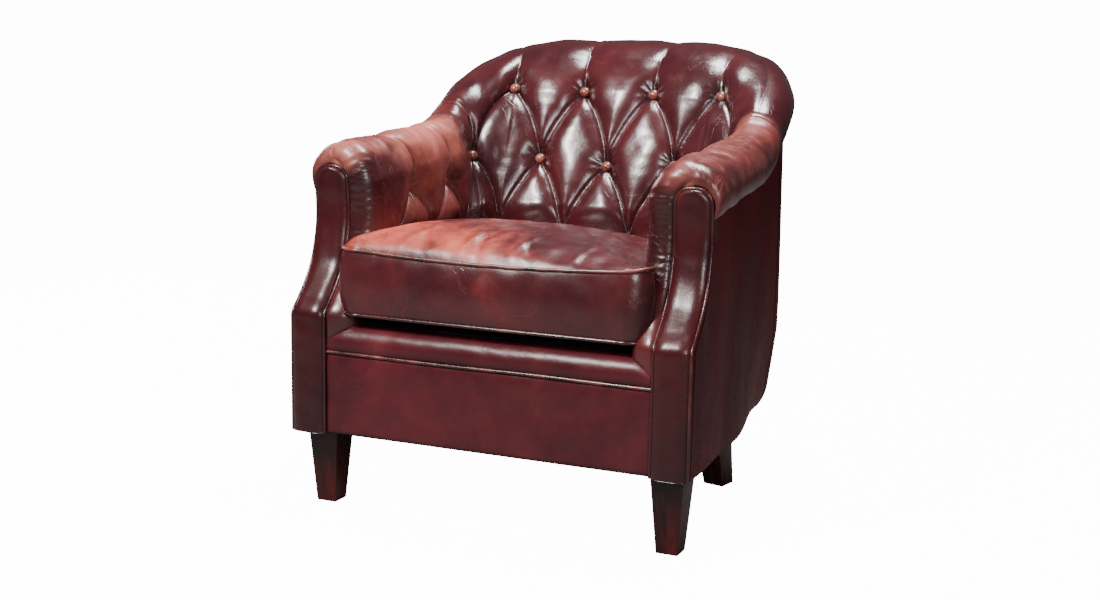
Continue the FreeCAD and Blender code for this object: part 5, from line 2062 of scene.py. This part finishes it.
@dataclass
class HiddenWork:
    """The frame, springs, pads and linings, which keep their CAD shapes."""

    worded: tuple[tuple[str, Finish], ...] = (
        ("hessian", Finish.HESSIAN), ("board", Finish.BOARD), ("spring_rail", Finish.BEECH),
        ("seat_springs", Finish.SPRING), ("clips", Finish.ZINC), ("bolts", Finish.ZINC),
        ("nuts", Finish.ZINC), ("glides", Finish.NYLON), ("ties", Finish.TWINE),
        ("zip", Finish.ZIP), ("dust", Finish.LINING),
        ("deck_cover", Finish.DECK), ("pad", Finish.FOAM), ("core", Finish.FOAM),
    )

    def pick(self, node: str) -> Finish:
        """The finish of a CAD node, by the first word that its name holds."""
        return next((finish for word, finish in self.worded if word in node), Finish.BEECH)

    def build(self) -> None:
        """Dresses every CAD node, also those that a visible piece stands for."""
        for name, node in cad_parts.items():
            node.data.materials.clear()
            node.data.materials.append(made_of(self.pick(name)))
            LOG.info("%s: CAD shape, %s", name, node.data.materials[0].name)


# ---- floor, light and camera


@dataclass(frozen=True)
class Softbox:
    """One soft rectangular light, turned to a point."""

    name: str
    spot: Colour
    aim: Colour
    size: tuple[float, float]
    power: float
    tint: Colour

    def build(self) -> None:
        """Hangs the light."""
        lamp = bpy.data.lights.new(self.name, "AREA")
        lamp.shape, lamp.size, lamp.size_y = "RECTANGLE", *self.size
        lamp.energy, lamp.color = self.power, self.tint
        holder = add_object(self.name, lamp)
        holder.location = self.spot
        towards = Vector(self.aim) - Vector(self.spot)
        holder.rotation_euler = towards.to_track_quat("-Z", "Y").to_euler()


@dataclass
class Setting:
    """The pale floor, the soft lights and the camera."""

    eye: tuple[float, float, float] = (1.163, -2.750, 0.875)
    azimuth: float = 23.75
    elevation: float = 10.13
    roll: float = 1.03
    lens: float = 53.07
    pale: float = 14.0
    lights: tuple[Softbox, ...] = (
        Softbox("key", (-0.85, -2.0, 2.6), (0, 0, 0.5), (0.30, 0.70), 175, (1.0, 0.97, 0.94)),
        Softbox("fill", (2.0, -2.5, 1.5), (0, 0, 0.45), (0.24, 0.9), 44, (0.97, 0.98, 1.0)),
        Softbox("top", (0.3, 0.3, 2.8), (0, 0, 0.4), (0.9, 0.6), 120, (1.0, 0.99, 0.98)),
        Softbox("rear", (-2.4, 1.3, 1.1), (0, 0, 0.4), (0.6, 1.0), 24, (1.0, 0.98, 0.96)),
    )

    def build(self) -> None:
        """Makes everything round the chair."""
        self._floor()
        for light in self.lights:
            light.build()
        self._surround()
        self._camera()

    def _floor(self) -> None:
        """A large plain floor."""
        deselect()
        bpy.ops.mesh.primitive_plane_add(size=60, location=(0, 0, 0))
        floor = bpy.context.view_layer.objects.active
        floor.name = "studio_floor"
        n = Nodes("pale_floor")
        colour = n.blend(n.span(n.noise(3.0, 4.0), 0.3, 0.7), (0.19, 0.19, 0.19), (0.21, 0.21, 0.21))
        bright = n.times(n.add_node("LightPath", {}).outputs["Is Camera Ray"], self.pale)
        n.feed(n.shader.inputs["Emission Strength"], bright)
        floor.data.materials.append(n.finish(colour, 0.8, Emission_Color=(1.0, 1.0, 1.0, 1.0)))

    def _surround(self) -> None:
        """A plain surround, dim on the chair and pale behind it."""
        world = bpy.data.worlds.new("surround")
        world.use_nodes = True
        tree = world.node_tree
        seen = tree.nodes["Background"]
        seen.inputs["Color"].default_value = (1.0, 1.0, 1.0, 1.0)
        seen.inputs["Strength"].default_value = self.pale
        lit = tree.nodes.new("ShaderNodeBackground")
        lit.inputs["Color"].default_value = (0.95, 0.96, 1.0, 1.0)
        lit.inputs["Strength"].default_value = 0.11
        split = tree.nodes.new("ShaderNodeMixShader")
        path = tree.nodes.new("ShaderNodeLightPath")
        tree.links.new(path.outputs["Is Camera Ray"], split.inputs["Fac"])
        tree.links.new(lit.outputs["Background"], split.inputs[1])
        tree.links.new(seen.outputs["Background"], split.inputs[2])
        tree.links.new(split.outputs["Shader"], tree.nodes["World Output"].inputs["Surface"])
        bpy.context.scene.world = world

    def _camera(self) -> None:
        """The camera at its place in front of the chair."""
        a, e, r = (math.radians(d) for d in (self.azimuth, self.elevation, self.roll))
        back = Vector((math.sin(a) * math.cos(e), -math.cos(a) * math.cos(e), math.sin(e)))
        right = Vector((math.cos(a), math.sin(a), 0))
        up = right.cross(-back)
        across = math.cos(r) * right + math.sin(r) * up
        upright = -math.sin(r) * right + math.cos(r) * up
        data = bpy.data.cameras.new("camera")
        data.lens, data.sensor_width, data.sensor_fit = self.lens, 36.0, "HORIZONTAL"
        data.clip_end = 100
        camera = add_object("camera", data)
        turn = Matrix((across, upright, back)).transposed().to_4x4()
        camera.matrix_world = Matrix.Translation(self.eye) @ turn
        bpy.context.scene.camera = camera


def main() -> None:
    """Dresses the chair and sets the scene."""
    logging.basicConfig(level=logging.INFO, format="%(name)s %(message)s")
    shape, hidden = ChairShape(), HiddenWork()
    hidden.build()
    TrimmedFrame(shape, hidden).build()
    cover = ButtonedCover(shape)
    cover.build()
    Buttons(cover).build()
    for side in Side:
        Facing(shape, side).build()
    for part in (OutsideCover(shape), FrontRail(shape), Deck(shape), Cushion(shape), Legs(), Setting()):
        part.build()
    deselect()
    bpy.context.view_layer.update()


if __name__ == "__main__":
    main()
